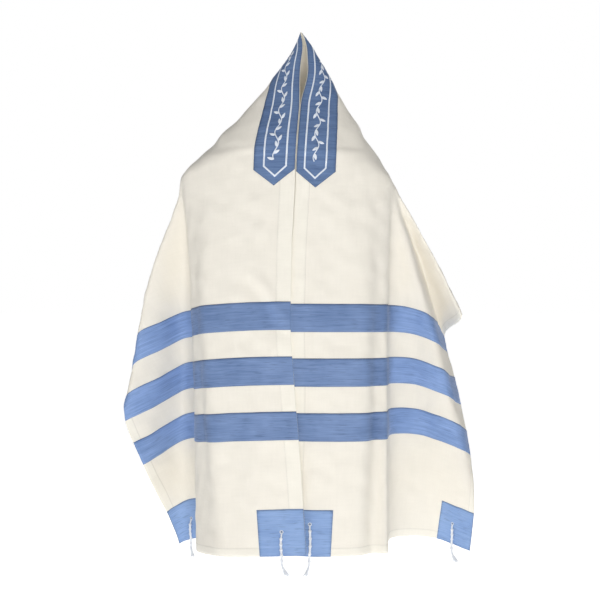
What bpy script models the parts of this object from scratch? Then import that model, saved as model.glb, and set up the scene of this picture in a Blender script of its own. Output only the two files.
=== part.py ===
"""Prayer shawl hung from the middle of its neckband, filled out as over a pair of shoulders.

The cloth is one rectangle. "Along" is measured on the flat cloth from its centre line towards
either end, and "across" from the neck edge. Each half hangs in straight lines: a hood from the
peak to the shoulder line, a front and a back panel below that line, and a wing of folds that
spread like a fan from the shoulder tip. X is right, Y is back, Z is up, in metres.
"""

import math
from collections import namedtuple

import bpy
import numpy as np

# The cut.
HALF_LENGTH = 1.000
WIDTH = 0.500
CLOTH_THICK = 0.0018
TRIM_THICK = 0.0010
BAND_THICK = 0.0012
SEAM_GAP = 0.0003
PEAK_CELL = 0.010

STRIPE_WIDTH = 0.052
STRIPE_PITCH = 0.101
FIRST_STRIPE = 0.535
STRIPE_COUNT = 3
CORNER_SIZE = 0.085
BAND_HALF_LENGTH = 0.320
BAND_POINT = 0.030
BAND_EDGE = 0.0015
BAND_WIDTH = 0.072

# The hang.
CHEST_DEPTH = 0.073
BACK_DEPTH = 0.090
NECK_FRONT_ALONG = 0.225
NECK_BACK_ACROSS = 0.220
NECK_BACK_DROP = 0.215
FOLD_ROUNDING = 0.0085

# Where the neck edge runs: outward shift at a distance along. It opens the slit at the peak.
EdgeRow = namedtuple("EdgeRow", "along out")
# Folds of a front panel at the hem: distance across, outward place, backward place.
HemRow = namedtuple("HemRow", "across out back")
# Folds of a wing: degrees turned from the along direction, outward and backward slope.
WingRow = namedtuple("WingRow", "turn out back")
# Folds of a back panel: share of the way to the tip, backward push at shoulder and at hem.
BackRow = namedtuple("BackRow", "share at_shoulder at_hem")

Half = namedtuple(
    "Half",
    "name sign tip_out tip_drop tip_along tip_across neck_rise hood_sag wing_arch arch_turn"
    " ridge_tuck edge hem wing back",
)

LEFT = Half(
    name="left",
    sign=-1.0,
    tip_out=0.230,
    tip_drop=0.283,
    tip_along=0.283,
    tip_across=0.236,
    neck_rise=0.015,
    hood_sag=1.35,
    wing_arch=0.013,
    arch_turn=35.0,
    ridge_tuck=0.012,
    edge=[
        EdgeRow(0.000, 0.0000),
        EdgeRow(0.037, -0.0056),
        EdgeRow(0.050, -0.0044),
        EdgeRow(0.075, -0.0011),
        EdgeRow(0.090, -0.0001),
        EdgeRow(0.110, 0.0006),
        EdgeRow(0.170, 0.0012),
        EdgeRow(0.210, 0.0045),
        EdgeRow(0.280, 0.0088),
        EdgeRow(0.320, 0.0097),
        EdgeRow(0.430, 0.0152),
        EdgeRow(0.500, 0.0165),
        EdgeRow(0.580, 0.0180),
        EdgeRow(0.660, 0.0130),
        EdgeRow(0.800, 0.0020),
        EdgeRow(1.000, -0.0120),
    ],
    hem=[
        HemRow(0.000, 0.000, -0.094),
        HemRow(0.085, 0.084, -0.096),
        HemRow(0.150, 0.143, -0.078),
        HemRow(0.195, 0.176, -0.045),
        HemRow(0.236, 0.192, -0.008),
    ],
    wing=[
        WingRow(3.0, -0.041, 0.044),
        WingRow(8.7, -0.089, 0.132),
        WingRow(20.0, 0.026, 0.254),
        WingRow(27.0, 0.136, 0.139),
        WingRow(35.0, 0.253, 0.076),
        WingRow(52.0, 0.165, 0.370),
        WingRow(65.0, 0.105, 0.315),
        WingRow(78.0, 0.025, 0.385),
        WingRow(90.0, -0.055, 0.300),
    ],
    back=[
        BackRow(0.00, 0.000, 0.000),
        BackRow(0.33, -0.006, -0.020),
        BackRow(0.66, 0.012, 0.034),
        BackRow(1.00, 0.000, 0.000),
    ],
)

RIGHT = Half(
    name="right",
    sign=1.0,
    tip_out=0.178,
    tip_drop=0.291,
    tip_along=0.300,
    tip_across=0.205,
    neck_rise=0.011,
    hood_sag=1.05,
    wing_arch=0.006,
    arch_turn=70.0,
    ridge_tuck=0.006,
    edge=[
        EdgeRow(0.000, 0.0040),
        EdgeRow(0.037, 0.0128),
        EdgeRow(0.063, 0.0145),
        EdgeRow(0.088, 0.0155),
        EdgeRow(0.115, 0.0112),
        EdgeRow(0.140, 0.0044),
        EdgeRow(0.153, 0.0011),
        EdgeRow(0.170, 0.0001),
        EdgeRow(0.210, -0.0032),
        EdgeRow(0.280, -0.0075),
        EdgeRow(0.320, -0.0084),
        EdgeRow(0.450, -0.0110),
        EdgeRow(0.620, -0.0120),
        EdgeRow(0.800, -0.0180),
        EdgeRow(1.000, -0.0290),
    ],
    hem=[
        HemRow(0.000, 0.000, -0.076),
        HemRow(0.085, 0.080, -0.084),
        HemRow(0.130, 0.123, -0.076),
        HemRow(0.165, 0.144, -0.050),
        HemRow(0.205, 0.164, -0.062),
    ],
    wing=[
        WingRow(9.0, 0.010, 0.140),
        WingRow(15.0, 0.115, 0.190),
        WingRow(22.9, 0.226, 0.160),
        WingRow(27.0, 0.275, 0.150),
        WingRow(34.0, 0.320, 0.240),
        WingRow(41.3, 0.366, 0.455),
        WingRow(51.0, 0.400, 0.620),
        WingRow(70.0, 0.555, 0.400),
        WingRow(90.0, 0.590, 0.700),
    ],
    back=[
        BackRow(0.00, 0.000, 0.000),
        BackRow(0.30, 0.022, 0.020),
        BackRow(0.55, -0.014, 0.008),
        BackRow(0.80, 0.018, 0.010),
        BackRow(1.00, 0.000, 0.000),
    ],
)

# Tassels: half, distances along and across of the eyelet, sideways swing of the loose ends, and
# clearance.
TasselRow = namedtuple("TasselRow", "name half along across swing clear")
TASSELS = [
    TasselRow("left_front", LEFT, 0.956, 0.0425, 0.010, 0.0003),
    TasselRow("left_outer", LEFT, 0.956, 0.4480, 0.004, 0.0008),
    TasselRow("right_front", RIGHT, 0.941, 0.0450, -0.008, 0.0003),
    TasselRow("right_outer", RIGHT, 0.956, 0.4480, 0.009, 0.0003),
]
SHANK_RADIUS = 0.0024
KNOT_SWELL = 1.28
KNOT_COUNT = 5
SHANK_BELOW_HEM = 0.012
STRAND_LENGTH = 0.026
STRAND_SPREAD = 1.9

CREAM = (0.87, 0.83, 0.72, 1.0)
BLUE = (0.16, 0.27, 0.52, 1.0)
WHITE = (0.86, 0.88, 0.92, 1.0)


def through(x, xs, ys):
    """A smooth curve through the rows, with straight ends: cubic pieces with averaged slopes."""
    xs, ys = np.asarray(xs, float), np.asarray(ys, float)
    steps = np.diff(ys) / np.diff(xs)
    slopes = np.concatenate(([steps[0]], (steps[:-1] + steps[1:]) / 2, [steps[-1]]))
    i = np.clip(np.searchsorted(xs, x) - 1, 0, len(xs) - 2)
    width = xs[i + 1] - xs[i]
    u = (np.clip(x, xs[0], xs[-1]) - xs[i]) / width
    value = (
        ys[i] * (1 + 2 * u) * (1 - u) ** 2
        + ys[i + 1] * u * u * (3 - 2 * u)
        + width * (slopes[i] * u * (1 - u) ** 2 - slopes[i + 1] * u * u * (1 - u))
    )
    before = np.minimum(x - xs[0], 0) * slopes[0]
    after = np.maximum(x - xs[-1], 0) * slopes[-1]
    return value + before + after


def quarter_oval(share, out, back):
    """A point at a share of the length of a quarter oval, from its middle to its side."""
    angle = np.linspace(0.0, math.pi / 2, 181)
    x, y = out * np.sin(angle), back * np.cos(angle)
    run = np.concatenate(([0.0], np.cumsum(np.hypot(np.diff(x), np.diff(y)))))
    share = np.asarray(share, float)
    beyond = np.minimum(share, 0.0) * run[-1]
    return np.interp(share, run / run[-1], x) + beyond, np.interp(share, run / run[-1], y)


def column(rows, name):
    """One named column of a table."""
    return [getattr(row, name) for row in rows]


def front_line(half, across):
    """The front half of the shoulder line: its place on the flat cloth and in space."""
    share = across / half.tip_across
    along = NECK_FRONT_ALONG + (half.tip_along - NECK_FRONT_ALONG) * share
    out, back = quarter_oval(share, half.tip_out, -CHEST_DEPTH)
    dip = half.neck_rise + half.tip_drop - half.tip_along
    return along, out, back, half.neck_rise - along - dip * share**2


def back_line(half, along):
    """The back half of the shoulder line: its place on the flat cloth and in space."""
    share = along / half.tip_along
    across = NECK_BACK_ACROSS + (half.tip_across - NECK_BACK_ACROSS) * share
    out, back = quarter_oval(share, half.tip_out, BACK_DEPTH)
    push = through(share, column(half.back, "share"), column(half.back, "at_shoulder"))
    drop = NECK_BACK_DROP + (half.tip_drop - NECK_BACK_DROP) * share**2
    return across, out, back + push, -drop


def along_ray(start, slope_out, slope_back, length):
    """A point at a length down a straight line that leaves a start point."""
    drop = length / np.sqrt(1 + slope_out**2 + slope_back**2)
    out, back, up = start
    return out + slope_out * drop, back + slope_back * drop, up - drop


def hood(half, reach, out, back, up):
    """A point on the sagging line from the peak to a place on the shoulder line."""
    reach = np.clip(reach, 0.0, None)
    return out * reach**half.hood_sag, back * reach, up * reach


def hang_half(half, along, across):
    """Outward, backward and upward place of a point of one half, before its folds are rounded."""
    tip_along = half.tip_along
    tip = (half.tip_out, 0.0, -half.tip_drop)

    # Front: the hood above the shoulder line, the panel below it.
    line_along, line_out, line_back, line_up = front_line(half, across)
    hem_out = through(across, column(half.hem, "across"), column(half.hem, "out"))
    hem_back = through(across, column(half.hem, "across"), column(half.hem, "back"))
    fall = HALF_LENGTH - line_along
    front = along_ray(
        (line_out, line_back, line_up),
        (hem_out - line_out) / fall,
        (hem_back - line_back) / fall,
        along - line_along,
    )
    slant = (tip_along - NECK_FRONT_ALONG) / half.tip_across
    front_reach = (along - slant * across) / NECK_FRONT_ALONG
    front_reach = np.clip(front_reach, 1e-6, None)
    _, f_out, f_back, f_up = front_line(half, across / front_reach)
    front_hood = hood(half, front_reach, f_out, f_back, f_up)

    # Back: the same, with the cloth running down across instead of along.
    line_across, line_out, line_back, line_up = back_line(half, along)
    share = np.clip(along / tip_along, 0.0, None)
    push = through(share, column(half.back, "share"), column(half.back, "at_hem"))
    last = half.wing[-1]
    fall = WIDTH - line_across
    back = along_ray(
        (line_out, line_back, line_up),
        last.out * share**2,
        last.back * share**2 + push / fall,
        across - line_across,
    )
    slant = (half.tip_across - NECK_BACK_ACROSS) / tip_along
    back_reach = np.clip((across - slant * along) / NECK_BACK_ACROSS, 1e-6, None)
    _, b_out, b_back, b_up = back_line(half, along / back_reach)
    back_hood = hood(half, back_reach, b_out, b_back, b_up)

    # Wing: a fan of straight lines from the shoulder tip.
    first_out = (half.hem[-1].out - half.tip_out) / (HALF_LENGTH - tip_along)
    first_back = half.hem[-1].back / (HALF_LENGTH - tip_along)
    rows = [WingRow(0.0, first_out, first_back)] + half.wing
    turn = np.degrees(np.arctan2(across - half.tip_across, along - tip_along))
    length = np.hypot(across - half.tip_across, along - tip_along)
    wing = along_ray(
        tip,
        through(turn, column(rows, "turn"), column(rows, "out")),
        through(turn, column(rows, "turn"), column(rows, "back")),
        length,
    )
    arch = np.exp(-(((turn - half.arch_turn) / 14.0) ** 2))
    arch = arch * half.wing_arch * np.sin(math.pi * np.clip(length / 0.40, 0.0, 1.0))
    wing = (wing[0] + arch, wing[1], wing[2])

    faces_front = across * tip_along <= along * half.tip_across
    in_wing = (along > tip_along) & (across > half.tip_across)
    places = []
    for f, fh, b, bh, w in zip(front, front_hood, back, back_hood, wing):
        on_front = np.where(front_reach < 1.0, fh, f)
        on_back = np.where(back_reach < 1.0, bh, b)
        places.append(np.where(in_wing, w, np.where(faces_front, on_front, on_back)))
    shift = through(along, column(half.edge, "along"), column(half.edge, "out"))
    aside = np.clip(across / half.tip_across, 0.0, 1.0)
    by_slit = np.clip((0.20 - along) / 0.08, 0.0, 1.0)
    near_edge = (1.0 - aside) * (1.0 + aside - 2.0 * aside * by_slit)
    places[0] = places[0] + np.where(faces_front, shift * near_edge, 0.0)
    below_tip = np.clip((along - tip_along) / (HALF_LENGTH - tip_along), 0.0, 1.0)
    by_ridge = np.exp(-(((across - half.tip_across - 0.02) / 0.05) ** 2))
    places[0] = places[0] - half.ridge_tuck * np.sin(math.pi * below_tip**0.6) * by_ridge
    return places


def hang(along, across):
    """Places in space of points of the flat cloth; along is negative on the left half."""
    along, across = np.broadcast_arrays(np.asarray(along, float), np.asarray(across, float))
    out = np.empty(along.shape + (3,))
    for half, mine in ((LEFT, along < 0), (RIGHT, along >= 0)):
        x, y, z = hang_half(half, np.abs(along[mine]), across[mine])
        out[mine] = np.stack((half.sign * x, y, z), axis=-1)
    return out


def soft_hang(along, across):
    """The hanging cloth with every fold rounded, by averaging over a small patch around a point."""
    along, across = np.broadcast_arrays(np.asarray(along, float), np.asarray(across, float))
    from_peak = np.hypot(along, across)
    reach = FOLD_ROUNDING * np.clip(0.50 + from_peak / 0.120, 0.0, 1.0)
    weights = np.array([1.0, 4.0, 6.0, 4.0, 1.0]) / 16.0
    total = 0.0
    for w_along, m in zip(weights, range(-2, 3)):
        for w_across, n in zip(weights, range(-2, 3)):
            spot = hang(along + m * reach, across + n * reach)
            total = total + w_along * w_across * spot
    return total


PEAK = soft_hang(np.array([0.0]), np.array([0.0]))[0]


def place(along, across):
    """A point of the cloth's middle surface, with the peak at the origin."""
    return soft_hang(along, across) - PEAK


def evenly(start, end, count):
    """Count equal steps from start up to, but without, end."""
    return list(np.linspace(start, end, count + 1)[:-1])


def stripe_edges():
    """The distance along of each stripe's two edges."""
    starts = [FIRST_STRIPE + i * STRIPE_PITCH for i in range(STRIPE_COUNT)]
    return [(start, start + STRIPE_WIDTH) for start in starts]


def lines_along():
    """The grid's places along one half. They fall on every seam."""
    band_corner = BAND_HALF_LENGTH - BAND_POINT
    lines = [0.0] + evenly(PEAK_CELL, band_corner, 12)
    lines += evenly(band_corner, BAND_HALF_LENGTH, 2)
    last = BAND_HALF_LENGTH
    for (start, end), cells in zip(stripe_edges(), (8, 2, 2)):
        lines += evenly(last, start, cells) + evenly(start, end, 2)
        last = end
    corner = HALF_LENGTH - CORNER_SIZE
    lines += evenly(last, corner, 4) + evenly(corner, HALF_LENGTH, 3) + [HALF_LENGTH]
    return np.array(lines)


def lines_across():
    """The grid's places across. They fall on the neckband's and the corners' seams."""
    band_end = BAND_EDGE + BAND_WIDTH
    lines = [0.0] + evenly(BAND_EDGE, band_end, 4) + [band_end]
    lines += evenly(CORNER_SIZE, RIGHT.tip_across, 6)
    lines += evenly(RIGHT.tip_across, LEFT.tip_across, 2)
    lines += evenly(LEFT.tip_across, WIDTH - CORNER_SIZE, 9)
    lines += evenly(WIDTH - CORNER_SIZE, WIDTH, 4) + [WIDTH]
    return np.array(lines)


HALF_LINES = lines_along()
ALONG = np.concatenate((-HALF_LINES[:0:-1], HALF_LINES))
ACROSS = lines_across()
GRID = place(*np.meshgrid(ALONG, ACROSS, indexing="ij"))
CENTRES = place(
    *np.meshgrid((ALONG[1:] + ALONG[:-1]) / 2, (ACROSS[1:] + ACROSS[:-1]) / 2, indexing="ij")
)


def rising_cut(i, j):
    """True where a cell's diagonal rises with both directions.

    Under the neckband it follows the band's points. Elsewhere it is the one nearer to the cloth.
    """
    if ACROSS[j] < BAND_EDGE + BAND_WIDTH:
        below = ACROSS[j] + ACROSS[j + 1] < 2 * BAND_EDGE + BAND_WIDTH
        return below == (ALONG[i] + ALONG[i + 1] > 0)
    rising = (GRID[i, j] + GRID[i + 1, j + 1]) / 2
    falling = (GRID[i + 1, j] + GRID[i, j + 1]) / 2
    centre = CENTRES[i, j]
    return np.linalg.norm(rising - centre) <= np.linalg.norm(falling - centre)


def grid_triangles():
    """Every triangle of the grid, as corner keys."""
    found = []
    for i in range(len(ALONG) - 1):
        for j in range(len(ACROSS) - 1):
            a, b, c, d = (i, j), (i + 1, j), (i + 1, j + 1), (i, j + 1)
            found += [[a, b, c], [a, c, d]] if rising_cut(i, j) else [[a, b, d], [b, c, d]]
    return found


TRIANGLES = grid_triangles()


def grid_normals():
    """The outward direction at each grid point: the mean of the faces around it, by their angles.

    It is drawn out where the faces turn sharply, so that a wall keeps its thickness there, and
    shortened at the very peak, where the cloth is pinched.
    """
    normals = np.zeros_like(GRID)
    flat = []
    for triangle in TRIANGLES:
        a, b, c = (GRID[k] for k in triangle)
        normal = np.cross(b - a, c - a)
        normal /= np.linalg.norm(normal)
        flat.append(normal)
        for key, p, q, r in zip(triangle, (a, b, c), (b, c, a), (c, a, b)):
            u, v = q - p, r - p
            cosine = np.dot(u, v) / (np.linalg.norm(u) * np.linalg.norm(v))
            normals[key] += normal * math.acos(max(-1.0, min(1.0, cosine)))
    normals /= np.linalg.norm(normals, axis=-1, keepdims=True)
    least = np.ones(GRID.shape[:2])
    for triangle, normal in zip(TRIANGLES, flat):
        for key in triangle:
            least[key] = min(least[key], float(np.dot(normals[key], normal)))
    near_peak = np.clip(0.30 + np.linalg.norm(GRID, axis=-1) / 0.045, 0.0, 1.0)
    return normals * (near_peak / np.clip(least, 0.8, 1.0))[..., None]


NORMALS = grid_normals()


def close_sheet(cells, low, high):
    """A closed wall over a set of grid triangles: its faces below and above, and its rim."""
    corners = {}
    vertices = []
    faces = []

    def vertex(key, top):
        if (key, top) not in corners:
            corners[key, top] = len(vertices)
            vertices.append((high if top else low)[key])
        return corners[key, top]

    edges = {}
    for triangle in cells:
        faces.append([vertex(k, True) for k in triangle])
        faces.append([vertex(k, False) for k in reversed(triangle)])
        for a, b in zip(triangle, triangle[1:] + triangle[:1]):
            edges[a, b] = True
    for a, b in edges:
        if (b, a) not in edges:
            faces.append([vertex(a, True), vertex(a, False), vertex(b, False)])
            faces.append([vertex(a, True), vertex(b, False), vertex(b, True)])
    return vertices, faces


def triangles_where(inside):
    """The grid triangles whose middle passes a test of along and across."""
    found = []
    for triangle in TRIANGLES:
        along = sum(ALONG[k[0]] for k in triangle) / 3
        across = sum(ACROSS[k[1]] for k in triangle) / 3
        if inside(along, across):
            found.append(triangle)
    return found


def in_band(along, across):
    """True on the neckband, whose two ends come to a point."""
    middle = BAND_EDGE + BAND_WIDTH / 2
    aside = abs(across - middle) / (BAND_WIDTH / 2)
    return aside < 1.0 and abs(along) < BAND_HALF_LENGTH - BAND_POINT * aside


def new_object(name, vertices, faces, colour, roughness, smooth=True):
    """A mesh object with its own material."""
    mesh = bpy.data.meshes.new(name)
    mesh.from_pydata([tuple(map(float, v)) for v in vertices], [], faces)
    mesh.validate()
    if smooth:
        mesh.shade_smooth()
        mesh.set_sharp_from_angle(angle=math.radians(50))
    material = bpy.data.materials.new(name)
    material.use_nodes = True
    shader = material.node_tree.nodes["Principled BSDF"]
    shader.inputs["Base Color"].default_value = colour
    shader.inputs["Roughness"].default_value = roughness
    mesh.materials.append(material)
    item = bpy.data.objects.new(name, mesh)
    bpy.context.scene.collection.objects.link(item)
    return item


def sheet_object(name, inside, low_lift, high_lift, colour, roughness):
    """A wall between two lifts over the part of the cloth that passes a test."""
    low = GRID + NORMALS * low_lift
    high = GRID + NORMALS * high_lift
    vertices, faces = close_sheet(triangles_where(inside), low, high)
    return new_object(name, vertices, faces, colour, roughness)


def make_cloth():
    """The shawl's one piece of cloth."""
    half = CLOTH_THICK / 2
    return sheet_object("shawl_cloth", lambda along, across: True, -half, half, CREAM, 0.85)


def make_trim():
    """The neckband, the stripes and the corner squares, each lying just off the cloth."""
    low = CLOTH_THICK / 2 + SEAM_GAP
    sheet_object("neckband", in_band, low, low + BAND_THICK, BLUE, 0.5)
    for half in (LEFT, RIGHT):
        for i, (start, end) in enumerate(stripe_edges(), 1):
            sheet_object(
                f"stripe_{half.name}_{i}",
                lambda along, across: start < half.sign * along < end,
                low,
                low + TRIM_THICK,
                BLUE,
                0.5,
            )
        for end_name, far in (("front", False), ("outer", True)):
            sheet_object(
                f"corner_{half.name}_{end_name}",
                lambda along, across: half.sign * along > HALF_LENGTH - CORNER_SIZE
                and (WIDTH - across if far else across) < CORNER_SIZE,
                low,
                low + TRIM_THICK,
                BLUE,
                0.5,
            )


def off_cloth(along, across, lift):
    """Places lifted off the cloth on its outward side."""
    step = 0.004
    run = place(along + step, across) - place(along - step, across)
    rise = place(along, across + step) - place(along, across - step)
    normal = np.cross(run, rise)
    return place(along, across) + lift * normal / np.linalg.norm(normal, axis=-1, keepdims=True)


def tassel_line(row):
    """The line of a tassel's wound shank: down the corner square, then free below the hem."""
    lift = CLOTH_THICK / 2 + SEAM_GAP + TRIM_THICK + row.clear + SHANK_RADIUS * KNOT_SWELL
    sign = row.half.sign
    root = place(np.array([sign * row.along]), np.array([row.across]))[0]
    tries = row.across + np.linspace(-0.04, 0.04, 81)
    edge = place(np.full(81, sign * HALF_LENGTH), tries)
    straight_below = tries[np.argmin(np.abs(edge[:, 0] - root[0]))]
    shares = np.linspace(0.0, 1.0, 7)
    on_cloth = off_cloth(
        sign * (row.along + (HALF_LENGTH - row.along) * shares),
        row.across + (straight_below - row.across) * shares,
        lift,
    )
    drops = np.linspace(0.0, SHANK_BELOW_HEM, 4)[1:, None]
    free = on_cloth[-1] + drops * np.array([0.0, 0.0, -1.0])
    return np.concatenate((on_cloth, free))


def make_tassel(row):
    """A twelve-sided shank with knots, whose end face splits into eight loose strands."""
    line = tassel_line(row)
    down = np.array([0.0, 0.0, -1.0])
    side = np.array([1.0, 0.0, 0.0])
    deep = np.array([0.0, 1.0, 0.0])
    grid = [(i, j) for i in range(4) for j in range(4)]
    rim = [(0, 0), (1, 0), (2, 0), (3, 0), (3, 1), (3, 2), (3, 3), (2, 3), (1, 3), (0, 3), (0, 2), (0, 1)]
    vertices, faces = [], []
    for n, centre in enumerate(line):
        swell = KNOT_SWELL if n % 2 == 0 and n // 2 < KNOT_COUNT else 1.0
        for k in range(len(rim)):
            angle = 2 * math.pi * (k + 0.5) / len(rim) - math.pi * 0.75 - math.pi / len(rim)
            radius = SHANK_RADIUS * swell
            vertices.append(centre + radius * (math.cos(angle) * side + math.sin(angle) * deep))
    count = len(rim)
    for n in range(len(line) - 1):
        for k in range(count):
            a, b = n * count + k, n * count + (k + 1) % count
            faces.append([b, a, a + count, b + count])
    faces.append(list(range(count)))
    last = (len(line) - 1) * count
    index = {key: last + k for k, key in enumerate(rim)}
    for key in grid:
        if key not in index:
            offset = (np.array(key) - 1.5) * SHANK_RADIUS * 0.55
            index[key] = len(vertices)
            vertices.append(line[-1] + offset[0] * side + offset[1] * deep)
    for i in range(3):
        for j in range(3):
            quad = [index[i, j], index[i, j + 1], index[i + 1, j + 1], index[i + 1, j]]
            if (i, j) == (1, 1):
                faces.append(quad)
                continue
            middle = sum(np.array(vertices[q]) for q in quad) / 4
            away = middle - line[-1]
            ring = quad
            for step, (share, size) in enumerate(((0.0, 0.62), (0.35, 0.60), (0.7, 0.58), (1.0, 0.40))):
                sway = row.swing * share**1.5 * side
                centre = middle + STRAND_LENGTH * share * down + away * STRAND_SPREAD * share + sway
                new = []
                for q in quad:
                    new.append(len(vertices))
                    vertices.append(centre + (np.array(vertices[q]) - middle) * size)
                for k in range(4):
                    m = (k + 1) % 4
                    faces.append([ring[k], ring[m], new[m], new[k]])
                ring = new
            faces.append(ring)
    return new_object(f"tassel_{row.name}", vertices, faces, WHITE, 0.7)


def main():
    """Build every piece."""
    for item in list(bpy.data.objects):
        bpy.data.objects.remove(item)
    make_cloth()
    make_trim()
    for row in TASSELS:
        make_tassel(row)


main()
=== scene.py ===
"""A prayer shawl hung from the middle of its neckband, dressed over its CAD model.

The shawl is one rectangle of wool. "Along" is measured on the flat cloth from its centre line
towards either end, negative on the left half, and "across" from the neck edge. A drape turns
those two numbers into a place in space, a fine grid is laid on it, and every sewn piece is a thin
closed shell over part of that grid, so all of them share its folds. X is right, Y is back and Z
is up, in metres.
"""

from __future__ import annotations

import logging
import math
from dataclasses import dataclass, field
from enum import Enum
from typing import Any, Callable, Sequence, Union

import bpy
import numpy as np
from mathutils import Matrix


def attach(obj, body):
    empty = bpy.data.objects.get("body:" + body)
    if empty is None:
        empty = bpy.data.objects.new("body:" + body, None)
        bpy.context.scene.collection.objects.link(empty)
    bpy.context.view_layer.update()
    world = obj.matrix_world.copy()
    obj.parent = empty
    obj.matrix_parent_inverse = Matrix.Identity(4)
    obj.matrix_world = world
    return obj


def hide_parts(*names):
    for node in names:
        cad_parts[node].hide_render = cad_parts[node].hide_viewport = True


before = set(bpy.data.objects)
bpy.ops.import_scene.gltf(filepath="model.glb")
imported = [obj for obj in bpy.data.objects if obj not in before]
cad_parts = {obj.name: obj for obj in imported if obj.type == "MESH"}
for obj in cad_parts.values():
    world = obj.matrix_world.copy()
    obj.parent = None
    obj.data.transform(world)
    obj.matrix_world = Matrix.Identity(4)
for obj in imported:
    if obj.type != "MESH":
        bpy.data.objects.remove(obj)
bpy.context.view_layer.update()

log = logging.getLogger("shawl")
Array = np.ndarray
Colour = tuple[float, float, float]


class Side(Enum):
    """The two halves of the shawl, by the sign of their distance along."""

    LEFT = -1.0
    RIGHT = 1.0


class End(Enum):
    """The two corners at one end of the shawl."""

    FRONT = "front"
    OUTER = "outer"


# ---------------------------------------------------------------- the cut of the cloth


@dataclass(frozen=True)
class Cut:
    """The flat sizes of the cloth and of what is sewn to it.

    Attributes:
        half_length: from the centre line to either end.
        width: from the neck edge to the outer edge.
        stripe_width: width of each stripe.
        stripe_pitch: from the start of one stripe to the start of the next.
        first_stripe: from the centre line to the first stripe.
        stripe_count: stripes on each half.
        corner: side of a corner square.
        band_half_length: from the centre line to either point of the neckband.
        band_point: how long those points are.
        band_edge: from the neck edge to the neckband.
        band_width: width of the neckband.
    """

    half_length: float = 1.000
    width: float = 0.500
    stripe_width: float = 0.052
    stripe_pitch: float = 0.101
    first_stripe: float = 0.535
    stripe_count: int = 3
    corner: float = 0.085
    band_half_length: float = 0.320
    band_point: float = 0.030
    band_edge: float = 0.0007
    band_width: float = 0.072

    @property
    def band_middle(self) -> float:
        """The distance across of the neckband's centre line."""
        return self.band_edge + self.band_width / 2

    @property
    def band_end(self) -> float:
        """The distance across of the neckband's outer edge."""
        return self.band_edge + self.band_width

    def stripe(self, number: int) -> tuple[float, float]:
        """The distances along of a stripe's two edges; the first stripe is number 1."""
        start = self.first_stripe + (number - 1) * self.stripe_pitch
        return start, start + self.stripe_width


# ---------------------------------------------------------------- the drape


@dataclass(frozen=True)
class Rows:
    """A table of one value against another, read as a smooth curve.

    Attributes:
        at: where the rows stand, rising.
        value: the value of each row.
    """

    at: tuple[float, ...]
    value: tuple[float, ...]

    def read(self, x: Array) -> Array:
        """The curve's value.

        Between two rows it is a cubic whose slope at each row is the mean of the slopes of the
        straight lines on its two sides. Beyond the first and last rows it runs on straight.

        Args:
            x: where to read the curve.

        Returns:
            The values, in the shape of x.
        """
        xs, ys = np.array(self.at), np.array(self.value)
        steps = np.diff(ys) / np.diff(xs)
        slopes = np.concatenate(([steps[0]], (steps[:-1] + steps[1:]) / 2, [steps[-1]]))
        i = np.clip(np.searchsorted(xs, x) - 1, 0, len(xs) - 2)
        width = xs[i + 1] - xs[i]
        u = (np.clip(x, xs[0], xs[-1]) - xs[i]) / width
        value = ys[i] * (1 + 2 * u) * (1 - u) ** 2 + ys[i + 1] * u * u * (3 - 2 * u)
        value = value + width * (slopes[i] * u * (1 - u) ** 2 - slopes[i + 1] * u * u * (1 - u))
        before = np.minimum(x - xs[0], 0) * slopes[0]
        after = np.maximum(x - xs[-1], 0) * slopes[-1]
        return value + before + after


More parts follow.
